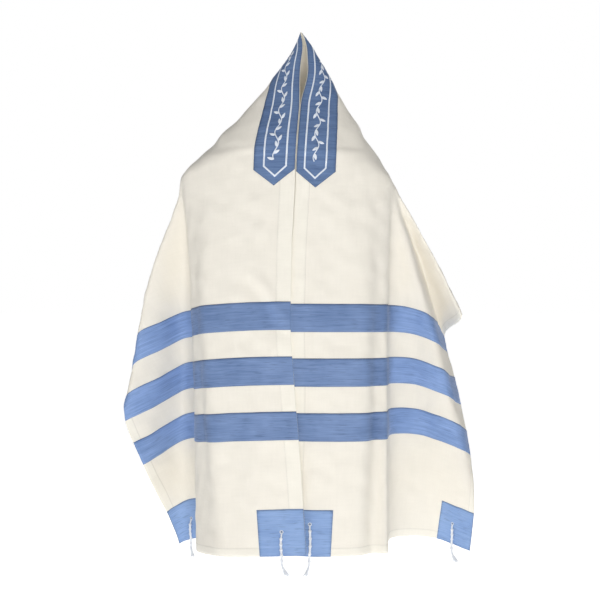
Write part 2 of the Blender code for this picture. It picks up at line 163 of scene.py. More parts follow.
@dataclass(frozen=True)
class HalfHang:
    """How one half of the shawl hangs: a hood, a front panel, a back panel and a wing of folds.

    Each of them is made of straight lines. They leave the peak in the hood, the shoulder line in
    the panels and the shoulder tip in the wing. Outward is away from the shawl's middle, and a
    slope is a run for each metre of drop.

    Attributes:
        side: which half it is.
        tip_out: outward place of the shoulder tip.
        tip_drop: how far the tip is below the peak.
        tip_along: the tip's distance along on the flat cloth.
        tip_across: its distance across.
        neck_rise: how far the shoulder line lies above a straight drop of its distance along.
        hood_sag: power of the hood's outward share; above 1 its sides are hollow.
        wing_arch: how far the wing's arch stands out.
        arch_turn: the turn at which it is highest, in degrees.
        ridge_tuck: how far the cloth beside the ridge is drawn inward.
        edge: outward shift of the front edge against the distance along.
        hem_out: outward place of the front hem against the distance across.
        hem_back: backward place of the front hem.
        wing_out: outward slope of the wing's lines against their turn in degrees.
        wing_back: backward slope of the same lines.
        push_at_shoulder: backward push of the back shoulder line against its share of the way.
        push_at_hem: backward push of the back hem against the same share.
        cut: the flat sizes.
        chest_depth: how far the shoulder line stands forward at the middle.
        back_depth: how far it stands back there.
        neck_front_along: where the front shoulder line meets the neck edge.
        neck_back_across: where the back shoulder line meets the centre line.
        neck_back_drop: how far that place is below the peak.
        slit_end: distance along at which the slit under the peak has ended.
        slit_fade: over what length it ends.
        ridge_beyond: from the tip to the middle of the tuck, across.
        ridge_width: width of the tuck.
        arch_spread: width of the arch, in degrees of turn.
        arch_length: its length.
    """

    side: Side
    tip_out: float
    tip_drop: float
    tip_along: float
    tip_across: float
    neck_rise: float
    hood_sag: float
    wing_arch: float
    arch_turn: float
    ridge_tuck: float
    edge: Rows
    hem_out: Rows
    hem_back: Rows
    wing_out: Rows
    wing_back: Rows
    push_at_shoulder: Rows
    push_at_hem: Rows
    cut: Cut = field(default_factory=Cut)
    chest_depth: float = 0.073
    back_depth: float = 0.090
    neck_front_along: float = 0.225
    neck_back_across: float = 0.220
    neck_back_drop: float = 0.215
    slit_end: float = 0.20
    slit_fade: float = 0.08
    ridge_beyond: float = 0.02
    ridge_width: float = 0.05
    arch_spread: float = 14.0
    arch_length: float = 0.40

    @staticmethod
    def quarter_oval(share: Array, out: float, back: float) -> tuple[Array, Array]:
        """A point at a share of the length of a quarter oval, from its middle to its side.

        The oval is out times the sine and back times the cosine of an angle. Its length is added
        up over 180 short steps, and the share is looked up in that running sum.

        Args:
            share: 0 at the middle, 1 at the side. Below 0 the line runs on straight.
            out: half width of the oval.
            back: its depth, negative towards the front.

        Returns:
            The outward and the backward place.
        """
        angle = np.linspace(0.0, math.pi / 2, 181)
        x, y = out * np.sin(angle), back * np.cos(angle)
        run = np.concatenate(([0.0], np.cumsum(np.hypot(np.diff(x), np.diff(y)))))
        beyond = np.minimum(share, 0.0) * run[-1]
        return np.interp(share, run / run[-1], x) + beyond, np.interp(share, run / run[-1], y)

    def front_line(self, across: Array) -> tuple[Array, Array, Array, Array]:
        """The front half of the shoulder line.

        Its place along grows evenly from the neck to the tip, and it dips by the square of the
        share of the way.

        Args:
            across: distance across on the flat cloth.

        Returns:
            Its distance along, and its outward, backward and upward place.
        """
        share = across / self.tip_across
        along = self.neck_front_along + (self.tip_along - self.neck_front_along) * share
        out, back = self.quarter_oval(share, self.tip_out, -self.chest_depth)
        dip = self.neck_rise + self.tip_drop - self.tip_along
        return along, out, back, self.neck_rise - along - dip * share**2

    def back_line(self, along: Array) -> tuple[Array, Array, Array, Array]:
        """The back half of the shoulder line.

        Args:
            along: distance along on the flat cloth.

        Returns:
            Its distance across, and its outward, backward and upward place.
        """
        share = along / self.tip_along
        across = self.neck_back_across + (self.tip_across - self.neck_back_across) * share
        out, back = self.quarter_oval(share, self.tip_out, self.back_depth)
        drop = self.neck_back_drop + (self.tip_drop - self.neck_back_drop) * share**2
        return across, out, back + self.push_at_shoulder.read(share), -drop

    @staticmethod
    def ray(
        start: Sequence[Any], slope_out: Any, slope_back: Any, length: Array
    ) -> tuple[Array, Array, Array]:
        """A point at a length down a straight line.

        The drop is the length over the root of 1 plus the two slopes squared, and each slope
        times the drop is the way the line goes outward and backward.

        Args:
            start: outward, backward and upward place of the line's start.
            slope_out: outward run for each metre of drop.
            slope_back: backward run for each metre of drop.
            length: length along the line.

        Returns:
            The outward, backward and upward place.
        """
        drop = length / np.sqrt(1 + slope_out**2 + slope_back**2)
        return start[0] + slope_out * drop, start[1] + slope_back * drop, start[2] - drop

    def hood(self, reach: Array, out: Array, back: Array, up: Array) -> tuple[Array, ...]:
        """A point on the sagging line from the peak to the shoulder line.

        Args:
            reach: share of the way down, whose power hood_sag is the outward share.
            out: outward place on the shoulder line.
            back: backward place there.
            up: upward place there.

        Returns:
            The outward, backward and upward place.
        """
        reach = np.clip(reach, 0.0, None)
        return out * reach**self.hood_sag, back * reach, up * reach

    def front(self, along: Array, across: Array) -> tuple[Array, ...]:
        """The hood above the front shoulder line, and the panel that falls from it to the hem."""
        line_along, out, back, up = self.front_line(across)
        fall = self.cut.half_length - line_along
        slope_out = (self.hem_out.read(across) - out) / fall
        slope_back = (self.hem_back.read(across) - back) / fall
        panel = self.ray((out, back, up), slope_out, slope_back, along - line_along)
        slant = (self.tip_along - self.neck_front_along) / self.tip_across
        reach = np.clip((along - slant * across) / self.neck_front_along, 1e-6, None)
        hood = self.hood(reach, *self.front_line(across / reach)[1:])
        return tuple(np.where(reach < 1.0, h, p) for h, p in zip(hood, panel))

    def back(self, along: Array, across: Array) -> tuple[Array, ...]:
        """The hood above the back shoulder line, and the back panel, which runs down across."""
        line_across, out, back, up = self.back_line(along)
        share = np.clip(along / self.tip_along, 0.0, None)
        fall = self.cut.width - line_across
        slope_back = self.wing_back.value[-1] * share**2 + self.push_at_hem.read(share) / fall
        slope_out = self.wing_out.value[-1] * share**2
        panel = self.ray((out, back, up), slope_out, slope_back, across - line_across)
        slant = (self.tip_across - self.neck_back_across) / self.tip_along
        reach = np.clip((across - slant * along) / self.neck_back_across, 1e-6, None)
        hood = self.hood(reach, *self.back_line(along / reach)[1:])
        return tuple(np.where(reach < 1.0, h, p) for h, p in zip(hood, panel))

    def wing(self, along: Array, across: Array) -> tuple[Array, ...]:
        """The fan of straight lines from the shoulder tip, one for each turn on the flat cloth.

        Its first line is the side edge of the front panel. A soft arch swells it outward: a bell
        curve over the turn times half a sine wave over the length.
        """
        fall = self.cut.half_length - self.tip_along
        first_out = (self.hem_out.value[-1] - self.tip_out) / fall
        first_back = self.hem_back.value[-1] / fall
        outs = Rows((0.0,) + self.wing_out.at, (first_out,) + self.wing_out.value)
        backs = Rows((0.0,) + self.wing_back.at, (first_back,) + self.wing_back.value)
        turn = np.degrees(np.arctan2(across - self.tip_across, along - self.tip_along))
        length = np.hypot(across - self.tip_across, along - self.tip_along)
        tip = (self.tip_out, 0.0, -self.tip_drop)
        out, back, up = self.ray(tip, outs.read(turn), backs.read(turn), length)
        bell = np.exp(-(((turn - self.arch_turn) / self.arch_spread) ** 2))
        run = np.clip(length / self.arch_length, 0.0, 1.0)
        arch = bell * self.wing_arch * np.sin(math.pi * run)
        return out + arch, back, up

    def hang(self, along: Array, across: Array) -> Array:
        """Places of points of this half, before its folds are rounded.

        With a the share of the way across to the tip, the shift of the front edge is felt by the
        square of 1 minus a beside the slit, and by 1 minus the square of a below it. Beside the
        ridge the cloth is drawn inward by half a sine wave down the panel times a bell curve
        across it.

        Args:
            along: distance along, from 0 up.
            across: distance across.

        Returns:
            Points as an array with a last axis of 3.
        """
        faces_front = across * self.tip_along <= along * self.tip_across
        in_wing = (along > self.tip_along) & (across > self.tip_across)
        parts = zip(self.front(along, across), self.back(along, across), self.wing(along, across))
        out, back, up = (np.where(in_wing, w, np.where(faces_front, f, b)) for f, b, w in parts)
        aside = np.clip(across / self.tip_across, 0.0, 1.0)
        by_slit = np.clip((self.slit_end - along) / self.slit_fade, 0.0, 1.0)
        near_edge = (1.0 - aside) * (1.0 + aside - 2.0 * aside * by_slit)
        out = out + np.where(faces_front, self.edge.read(along) * near_edge, 0.0)
        fall = self.cut.half_length - self.tip_along
        below_tip = np.clip((along - self.tip_along) / fall, 0.0, 1.0)
        from_ridge = across - self.tip_across - self.ridge_beyond
        by_ridge = np.exp(-((from_ridge / self.ridge_width) ** 2))
        out = out - self.ridge_tuck * np.sin(math.pi * below_tip**0.6) * by_ridge
        return np.stack((self.side.value * out, back, up), axis=-1)


LEFT_HANG = HalfHang(
    side=Side.LEFT, tip_out=0.230, tip_drop=0.283, tip_along=0.283, tip_across=0.236,
    neck_rise=0.015, hood_sag=1.35, wing_arch=0.013, arch_turn=35.0, ridge_tuck=0.012,
    edge=Rows(
        (
            0.000, 0.037, 0.050, 0.075, 0.090, 0.110, 0.170, 0.210,
            0.280, 0.320, 0.430, 0.500, 0.580, 0.660, 0.800, 1.000,
        ),
        (
            0.0000, -0.0056, -0.0044, -0.0011, -0.0001, 0.0006, 0.0012, 0.0045,
            0.0088, 0.0097, 0.0152, 0.0165, 0.0180, 0.0130, 0.0020, -0.0120,
        ),
    ),
    hem_out=Rows((0.000, 0.085, 0.150, 0.195, 0.236), (0.000, 0.084, 0.143, 0.176, 0.192)),
    hem_back=Rows((0.000, 0.085, 0.150, 0.195, 0.236), (-0.094, -0.096, -0.078, -0.045, -0.008)),
    wing_out=Rows(
        (3.0, 8.7, 20.0, 27.0, 35.0, 52.0, 65.0, 78.0, 90.0),
        (-0.041, -0.089, 0.026, 0.136, 0.253, 0.165, 0.105, 0.025, -0.055),
    ),
    wing_back=Rows(
        (3.0, 8.7, 20.0, 27.0, 35.0, 52.0, 65.0, 78.0, 90.0),
        (0.044, 0.132, 0.254, 0.139, 0.076, 0.370, 0.315, 0.385, 0.300),
    ),
    push_at_shoulder=Rows((0.00, 0.33, 0.66, 1.00), (0.000, -0.006, 0.012, 0.000)),
    push_at_hem=Rows((0.00, 0.33, 0.66, 1.00), (0.000, -0.020, 0.034, 0.000)),
)

RIGHT_HANG = HalfHang(
    side=Side.RIGHT, tip_out=0.178, tip_drop=0.291, tip_along=0.300, tip_across=0.205,
    neck_rise=0.011, hood_sag=1.05, wing_arch=0.006, arch_turn=70.0, ridge_tuck=0.006,
    edge=Rows(
        (
            0.000, 0.037, 0.063, 0.088, 0.115, 0.140, 0.153, 0.170,
            0.210, 0.280, 0.320, 0.430, 0.500, 0.580, 0.640, 0.800, 1.000,
        ),
        (
            0.0040, 0.0128, 0.0145, 0.0155, 0.0112, 0.0044, 0.0011, 0.0001,
            -0.0032, -0.0075, -0.0087, -0.0149, -0.0166, -0.0180, -0.0163, -0.0183, -0.0290,
        ),
    ),
    hem_out=Rows((0.000, 0.085, 0.130, 0.165, 0.205), (0.000, 0.080, 0.123, 0.144, 0.164)),
    hem_back=Rows((0.000, 0.085, 0.130, 0.165, 0.205), (-0.076, -0.084, -0.076, -0.050, -0.062)),
    wing_out=Rows(
        (9.0, 15.0, 22.9, 27.0, 34.0, 41.3, 51.0, 70.0, 90.0),
        (0.010, 0.115, 0.226, 0.275, 0.320, 0.366, 0.400, 0.555, 0.590),
    ),
    wing_back=Rows(
        (9.0, 15.0, 22.9, 27.0, 34.0, 41.3, 51.0, 70.0, 90.0),
        (0.140, 0.190, 0.160, 0.150, 0.240, 0.455, 0.620, 0.400, 0.700),
    ),
    push_at_shoulder=Rows((0.00, 0.30, 0.55, 0.80, 1.00), (0.000, 0.022, -0.014, 0.018, 0.000)),
    push_at_hem=Rows((0.00, 0.30, 0.55, 0.80, 1.00), (0.000, 0.020, 0.008, 0.010, 0.000)),
)


@dataclass(frozen=True)
class Drape:
    """The whole cloth in the air, with its folds rounded and its peak at the origin.

    Attributes:
        left: the left half.
        right: the right half.
        rounding: how wide a patch of cloth each place is the mean of.
        peak_share: what share of that is left at the peak.
        peak_fade: distance from the peak over which the share would grow by 1.
    """

    left: HalfHang = LEFT_HANG
    right: HalfHang = RIGHT_HANG
    rounding: float = 0.0085
    peak_share: float = 0.50
    peak_fade: float = 0.120

    def hang(self, along: Array, across: Array) -> Array:
        """Places before rounding; each point goes to the half that its sign names."""
        points = np.empty(along.shape + (3,))
        for half, mine in ((self.left, along < 0), (self.right, along >= 0)):
            points[mine] = half.hang(np.abs(along[mine]), across[mine])
        return points

    def soften(self, along: Array, across: Array) -> Array:
        """Places with every fold rounded.

        Each is the mean of 81 places around it, nine each way, weighted by the ninth row of
        Pascal's triangle both ways. The patch is narrower at the peak.

        Args:
            along: distances along.
            across: distances across.

        Returns:
            Points with a last axis of 3.
        """
        from_peak = np.hypot(along, across)
        share = np.clip(self.peak_share + from_peak / self.peak_fade, 0.0, 1.0)
        reach = self.rounding / math.sqrt(2) * share
        weights = np.array([1, 8, 28, 56, 70, 56, 28, 8, 1]) / 256
        total = np.zeros(along.shape + (3,))
        for m in range(-4, 5):
            for n in range(-4, 5):
                spot = self.hang(along + m * reach, across + n * reach)
                total += weights[m + 4] * weights[n + 4] * spot
        return total

    def place(self, along: Array, across: Array) -> Array:
        """Places on the cloth's middle surface, as an array with a last axis of 3."""
        peak = self.soften(np.zeros(1), np.zeros(1))[0]
        return self.soften(along, across) - peak


# ---------------------------------------------------------------- small creases


@dataclass(frozen=True)
class Crease:
    """One crease pressed or pulled into the cloth: a line with a rise on one side of it.

    Attributes:
        along: distances along of the line's points, negative on the left half.
        across: distances across of the same points.
        width: distance from the line to the top of the rise.
        depth: height of the rise; the other side sinks as far.
    """

    along: tuple[float, ...]
    across: tuple[float, ...]
    width: float
    depth: float

    def lift(self, along: Array, across: Array) -> Array:
        """The lift that the crease gives to points of the flat cloth.

        With u the signed distance to the line over its width, the lift is depth times u times e
        to the power of half of 1 minus u squared. It fades out by half a sine wave towards the
        line's two ends.

        Args:
            along: distances along.
            across: distances across.

        Returns:
            Lifts in metres, in the shape of along.
        """
        ends = np.stack((self.along, self.across), axis=-1)
        steps = np.linalg.norm(np.diff(ends, axis=0), axis=1)
        before = np.concatenate(([0.0], np.cumsum(steps)))
        nearest = np.full(along.shape, np.inf)
        lift = np.zeros(along.shape)
        for start, end, length, run in zip(ends[:-1], ends[1:], steps, before):
            way = (end - start) / length
            u, v = along - start[0], across - start[1]
            down = np.clip(u * way[0] + v * way[1], 0.0, length)
            away = np.hypot(u - down * way[0], v - down * way[1])
            signed = np.where(v * way[0] - u * way[1] >= 0, away, -away) / self.width
            fade = np.sin(math.pi * np.clip((run + down) / before[-1], 0.0, 1.0)) ** 0.7
            here = self.depth * fade * signed * np.exp((1 - signed**2) / 2)
            lift = np.where(away < nearest, here, lift)
            nearest = np.minimum(nearest, away)
        return lift


@dataclass(frozen=True)
class Relief:
    """The small relief of the hanging cloth: creases, slow waves and cockling.

    Attributes:
        creases: the creases of the hood and panels, of the ridges, under the neckband and behind.
        waves: how many slow waves there are.
        wave_lengths: the shortest and the longest.
        wave_height: height of the longest.
        cockles: how many waves make the cockling.
        cockle_lengths: the shortest and the longest of those.
        cockle: height of the longest.
        seed: start of the random draws.
    """

    creases: tuple[Crease, ...] = (
        Crease((-0.478, -0.520, -0.600), (0.078, 0.050, 0.004), 0.010, 0.0042),
        Crease((-0.245, -0.247), (-0.02, 0.170), 0.005, 0.0009),
        Crease((0.248, 0.246), (-0.02, 0.150), 0.005, -0.0009),
        Crease((-0.150, -0.205, -0.250), (0.250, 0.180, 0.120), 0.016, 0.0020),
        Crease((-0.420, -0.560, -0.700), (0.150, 0.175, 0.190), 0.020, -0.0016),
        Crease((-0.330, -0.600, -1.020), (0.182, 0.180, 0.178), 0.020, 0.0060),
        Crease((0.340, 0.600, 1.020), (0.154, 0.151, 0.149), 0.020, -0.0048),
        Crease((0.330, 0.470, 0.620), (0.060, 0.100, 0.120), 0.022, 0.0018),
        Crease((0.640, 0.800, 0.980), (0.050, 0.070, 0.080), 0.024, 0.0018),
        Crease((-0.620, -0.800, -0.980), (0.110, 0.100, 0.110), 0.024, 0.0016),
        Crease((0.130, 0.180, 0.240), (0.220, 0.150, 0.100), 0.016, -0.0018),
        Crease((-0.192, -0.197, -0.189), (0.000, 0.040, 0.080), 0.0035, 0.0009),
        Crease((-0.218, -0.213), (0.006, 0.082), 0.0040, -0.0008),
        Crease((-0.272, -0.268, -0.275), (0.000, 0.034, 0.074), 0.0040, 0.0009),
        Crease((-0.160, -0.168), (0.020, 0.084), 0.0045, 0.0009),
        Crease((0.178, 0.185, 0.177), (0.000, 0.038, 0.082), 0.0035, 0.0010),
        Crease((0.207, 0.201), (0.004, 0.078), 0.0040, -0.0009),
        Crease((0.222, 0.229), (0.012, 0.084), 0.0035, 0.0008),
        Crease((0.281, 0.272), (0.000, 0.070), 0.0040, 0.0009),
        Crease((-0.050, 0.050), (0.300, 0.420), 0.020, 0.0020),
        Crease((0.120, 0.160), (0.280, 0.460), 0.020, 0.0020),
        Crease((-0.140, -0.170), (0.280, 0.470), 0.020, -0.0020),
    )
    waves: int = 9
    wave_lengths: tuple[float, float] = (0.045, 0.130)
    wave_height: float = 0.0009
    cockles: int = 14
    cockle_lengths: tuple[float, float] = (0.025, 0.060)
    cockle: float = 0.00024
    seed: int = 7

    def lift(self, along: Array, across: Array) -> Array:
        """The whole relief at points of the flat cloth.

        The waves are a sum of sine waves over the distance across, which lean a little and grow
        towards the hem. The cockling is a sum of waves that slant every way. A wave's height
        goes by its length. All of it fades out near the peak, where the cloth is gathered.

        Args:
            along: distances along.
            across: distances across.

        Returns:
            Lifts in metres, in the shape of along.
        """
        rng = np.random.default_rng(self.seed)
        lift = sum(crease.lift(along, across) for crease in self.creases)
        grow = np.clip((np.abs(along) - 0.30) / 0.70, 0.0, 1.0)
        for length, lean, phase in zip(
            rng.uniform(*self.wave_lengths, self.waves),
            rng.uniform(-0.12, 0.12, self.waves),
            rng.uniform(0.0, 2 * math.pi, self.waves),
        ):
            wave = np.sin(2 * math.pi * (across + lean * along) / length + phase)
            height = self.wave_height * (length / self.wave_lengths[1])
            lift = lift + height * wave * (0.15 + 0.5 * grow)
        for length, way, phase in zip(
            rng.uniform(*self.cockle_lengths, self.cockles),
            rng.uniform(0.0, math.pi, self.cockles),
            rng.uniform(0.0, 2 * math.pi, self.cockles),
        ):
            run = along * math.cos(way) + across * math.sin(way)
            height = self.cockle * (length / self.cockle_lengths[1])
            lift = lift + height * np.sin(2 * math.pi * run / length + phase)
        return lift * np.clip((np.hypot(along, across) - 0.03) / 0.12, 0.0, 1.0)


# ---------------------------------------------------------------- meshes


@dataclass
class Surface:
    """Points and triangles of one mesh, with what its material reads at each point.

    Attributes:
        points: places in space, three columns.
        faces: point numbers of the triangles, three columns.
        cut: distances along and across on the flat cloth, two columns.
        own: other numbers by name, one for each point.
    """

    points: Array
    faces: Array
    cut: Array
    own: dict[str, Array] = field(default_factory=dict)

    def to_object(self, name: str, material: bpy.types.Material) -> bpy.types.Object:
        """Put the surface into the scene.

        Args:
            name: the piece's name.
            material: its finish.

        Returns:
            The new object, at the origin, riding on the body.
        """
        mesh = bpy.data.meshes.new(name)
        mesh.vertices.add(len(self.points))
        mesh.vertices.foreach_set("co", self.points.astype(np.float32).ravel())
        mesh.loops.add(self.faces.size)
        mesh.loops.foreach_set("vertex_index", self.faces.astype(np.int32).ravel())
        mesh.polygons.add(len(self.faces))
        starts = np.arange(0, self.faces.size, 3, dtype=np.int32)
        mesh.polygons.foreach_set("loop_start", starts)
        mesh.update(calc_edges=True)
        layer = mesh.uv_layers.new(name="cut")
        flat = np.stack(((self.cut[:, 0] + 1) / 2, self.cut[:, 1]), axis=-1)
        layer.data.foreach_set("uv", flat[self.faces.ravel()].astype(np.float32).ravel())
        for key, values in self.own.items():
            kept = mesh.attributes.new(key, "FLOAT", "POINT")
            kept.data.foreach_set("value", values.astype(np.float32))
        mesh.validate()
        mesh.shade_smooth()
        mesh.materials.append(material)
        piece = bpy.data.objects.new(name, mesh)
        bpy.context.scene.collection.objects.link(piece)
        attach(piece, "root")
        log.info("%s: %d points, %d faces", name, len(mesh.vertices), len(mesh.polygons))
        return piece

    @staticmethod
    def join(parts: Sequence["Surface"]) -> "Surface":
        """Several surfaces as one; the faces of each are moved up by the points before it."""
        firsts = np.concatenate(([0], np.cumsum([len(part.points) for part in parts])))[:-1]
        return Surface(
            np.concatenate([part.points for part in parts]),
            np.concatenate([part.faces + first for part, first in zip(parts, firsts)]),
            np.concatenate([part.cut for part in parts]),
            {key: np.concatenate([part.own[key] for part in parts]) for key in parts[0].own},
        )

    @staticmethod
    def from_grid(
        points: Array, cut: Array, close_rows: bool = False, close_columns: bool = False
    ) -> "Surface":
        """A grid of cells, each cut into two triangles.

        Args:
            points: rows by columns by 3.
            cut: rows by columns by 2, the flat place of each point.
            close_rows: the last row joins the first.
            close_columns: the last column joins the first.

        Returns:
            The surface. It looks along the cross product of its row and column directions.
        """
        rows, columns = points.shape[:2]
        index = np.arange(rows * columns).reshape(rows, columns)
        if close_rows:
            index = np.concatenate((index, index[:1]), axis=0)
        if close_columns:
            index = np.concatenate((index, index[:, :1]), axis=1)
        a, b, c, d = index[:-1, :-1], index[1:, :-1], index[1:, 1:], index[:-1, 1:]
        faces = np.concatenate([np.stack(t, -1).reshape(-1, 3) for t in ((a, b, c), (a, c, d))])
        return Surface(points.reshape(-1, 3), faces, cut.reshape(-1, 2))

    @staticmethod
    def tube(line: Array, radii: Array, cut: tuple[float, float]) -> "Surface":
        """A closed tube whose profile is carried down a line.

        Each ring lies square to the line: its first direction is X made square to the line, and
        its second is the cross product of the two. A fan of triangles closes each end.

        Args:
            line: the middle of each ring, three columns.
            radii: rings by points round the ring.
            cut: the flat place that the whole tube is given.

        Returns:
            The tube.
        """
        rings, around = radii.shape
        way = np.gradient(line, axis=0)
        way /= np.linalg.norm(way, axis=1, keepdims=True)
        first = np.array([1.0, 0.0, 0.0]) - way[:, :1] * way
        first /= np.linalg.norm(first, axis=1, keepdims=True)
        second = np.cross(way, first)
        turn = np.linspace(0, 2 * math.pi, around, endpoint=False)[None, :, None]
        ring = np.cos(turn) * first[:, None] + np.sin(turn) * second[:, None]
        points = line[:, None] + radii[..., None] * ring
        flat = np.broadcast_to(np.array(cut), (rings, around, 2))
        wall = Surface.from_grid(points, flat, close_columns=True)
        wall.faces = wall.faces[:, ::-1]
        top = np.arange(around)
        last = top + (rings - 1) * around
        ends = rings * around + np.array([0, 1])
        fans = [
            np.stack((np.full(around, ends[0]), np.roll(top, -1), top), axis=-1),
            np.stack((np.full(around, ends[1]), last, np.roll(last, -1)), axis=-1),
        ]
        return Surface(
            np.concatenate((wall.points, line[:1], line[-1:])),
            np.concatenate([wall.faces] + fans),
            np.concatenate((wall.cut, flat[0, :2])),
        )


@dataclass
class ClothGrid:
    """The fine grid on the draped cloth, which every sewn piece is cut from.

    Attributes:
        cut: the flat sizes.
        drape: how the cloth hangs.
        relief: its small relief.
        along: the grid lines' distances along.
        across: their distances across.
        points: the place of each crossing.
        normals: the outward direction there, shorter than 1 close to the peak.
        rising: which way each cell's diagonal runs.
        triangles: the halves of the cells, as three point numbers each.
    """

    cut: Cut
    drape: Drape
    relief: Relief
    along: Array = field(init=False)
    across: Array = field(init=False)
    points: Array = field(init=False)
    normals: Array = field(init=False)
    rising: Array = field(init=False)
    triangles: Array = field(init=False)

    def __post_init__(self) -> None:
        """Lay the grid, drape it, and cut its cells into triangles."""
        half = self.lines_along()
        self.along = np.concatenate((-half[:0:-1], half))
        self.across = self.lines_across()
        along, across = np.meshgrid(self.along, self.across, indexing="ij")
        smooth = self.drape.place(along, across)
        outward = self.outward(smooth)
        lift = self.relief.lift(along, across)[..., None]
        self.points = smooth + lift * outward
        from_peak = np.linalg.norm(self.points, axis=-1, keepdims=True)
        thin = np.clip(0.30 + from_peak / 0.045, 0.0, 1.0)
        self.normals = self.outward(self.points) * thin
        self.rising = self.choose_diagonals()
        self.triangles = self.cut_cells()

    @staticmethod
    def steps(*stretches: tuple[float, float, int]) -> Array:
        """Grid lines over several stretches, each a start, an end and a count of cells."""
        parts = [np.linspace(start, end, count + 1)[:-1] for start, end, count in stretches]
        return np.concatenate(parts + [np.array([stretches[-1][1]])])

    def lines_along(self) -> Array:
        """The grid's places along one half. They fall on every seam and are closest at the peak."""
        cut = self.cut
        corner = cut.half_length - cut.corner
        point = cut.band_half_length - cut.band_point
        stretches = [(0.0, 0.012, 6), (0.012, 0.050, 10), (0.050, point, 48)]
        stretches.append((point, cut.band_half_length, 6))
        last = cut.band_half_length
        for number in range(1, cut.stripe_count + 1):
            start, end = cut.stripe(number)
            stretches += [(last, start, round((start - last) / 0.005)), (start, end, 10)]
            last = end
        stretches += [(last, corner, 25), (corner, cut.half_length, 17)]
        return self.steps(*stretches)

    def lines_across(self) -> Array:
        """The grid's places across. They fall on the neckband's and the corners' seams."""
        cut = self.cut
        return self.steps(
            (0.0, cut.band_edge, 1),
            (cut.band_edge, cut.band_middle, 6),
            (cut.band_middle, cut.band_end, 6),
            (cut.band_end, cut.corner, 2),
            (cut.corner, cut.width - cut.corner, 66),
            (cut.width - cut.corner, cut.width, 17),
        )

    def outward(self, points: Array) -> Array:
        """Unit normals: the cross product of the differences along and across."""
        run = np.gradient(points, self.along, axis=0)
        rise = np.gradient(points, self.across, axis=1)
        normal = np.cross(run, rise)
        return normal / np.maximum(np.linalg.norm(normal, axis=-1, keepdims=True), 1e-12)

    def choose_diagonals(self) -> Array:
        """True for each cell whose diagonal rises with both directions.

        Under the neckband the diagonals follow its pointed ends. Elsewhere it is the shorter one.
        """
        p = self.points
        rising = np.linalg.norm(p[1:, 1:] - p[:-1, :-1], axis=-1)
        falling = np.linalg.norm(p[1:, :-1] - p[:-1, 1:], axis=-1)
        centre_along = (self.along[1:] + self.along[:-1])[:, None] / 2
        centre_across = (self.across[1:] + self.across[:-1])[None, :] / 2
        follows = (centre_across < self.cut.band_middle) == (centre_along > 0)
        return np.where(centre_across < self.cut.band_end, follows, rising <= falling)

    def cut_cells(self) -> Array:
        """Two triangles for each cell, as rows of three point numbers."""
        rows, columns = self.points.shape[:2]
        index = np.arange(rows * columns).reshape(rows, columns)
        a, b = index[:-1, :-1], index[1:, :-1]
        c, d = index[1:, 1:], index[:-1, 1:]
        first = np.where(self.rising[..., None], np.stack((a, b, c), -1), np.stack((a, b, d), -1))
        second = np.where(self.rising[..., None], np.stack((a, c, d), -1), np.stack((b, c, d), -1))
        return np.concatenate((first.reshape(-1, 3), second.reshape(-1, 3)))

    def flat_places(self) -> Array:
        """The distance along and across of every grid point, two columns."""
        grid = np.meshgrid(self.along, self.across, indexing="ij")
        return np.stack([part.ravel() for part in grid], axis=-1)

    def shell(self, keep: Array, low: float, high: float) -> Surface:
        """A closed thin wall over some of the grid's triangles.

        The upper and lower faces are the triangles lifted along the normals. Each edge that has
        no partner running the other way is on the rim, and the rim is a half-round strip of two
        rows, whose middle row stands out by a quarter of the wall.

        Args:
            keep: True for each triangle that belongs to the wall.
            low: lift of the lower face off the cloth's middle surface.
            high: lift of the upper face.

        Returns:
            The wall, with side 1 on its upper face, 0 on its lower and a half on its rim.
        """
        used, local = np.unique(self.triangles[keep], return_inverse=True)
        local = local.reshape(-1, 3)
        middle, normal = self.points.reshape(-1, 3)[used], self.normals.reshape(-1, 3)[used]
        flat = self.flat_places()[used]
        count = len(used)
        edges = np.concatenate((local[:, (0, 1)], local[:, (1, 2)], local[:, (2, 0)]))
        forth, back = edges[:, 0] * count + edges[:, 1], edges[:, 1] * count + edges[:, 0]
        a, b = edges[~np.isin(forth, back)].T
        away = np.zeros((count, 3))
        sideways = np.cross(middle[b] - middle[a], (normal[a] + normal[b]) / 2)
        np.add.at(away, a, sideways)
        np.add.at(away, b, sideways)
        rim = np.unique(a)
        away = away[rim] / np.maximum(np.linalg.norm(away[rim], axis=1, keepdims=True), 1e-12)
        round_edge = middle[rim] + normal[rim] * (low + high) / 2 + away * (high - low) / 4
        slot = np.zeros(count, int)
        slot[rim] = 2 * count + np.arange(len(rim))
        ma, mb, la, lb = slot[a], slot[b], a + count, b + count
        strips = [(a, ma, mb), (a, mb, b), (ma, la, lb), (ma, lb, mb)]
        faces = [local, local[:, ::-1] + count] + [np.stack(strip, axis=-1) for strip in strips]
        return Surface(
            np.concatenate((middle + normal * high, middle + normal * low, round_edge)),
            np.concatenate(faces),
            np.concatenate((flat, flat, flat[rim])),
            {"side": np.concatenate((np.ones(count), np.zeros(count), np.full(len(rim), 0.5)))},
        )

    def middles(self) -> tuple[Array, Array]:
        """The distances along and across of the middle of every triangle."""
        flat = self.flat_places()[self.triangles].mean(axis=1)
        return flat[:, 0], flat[:, 1]

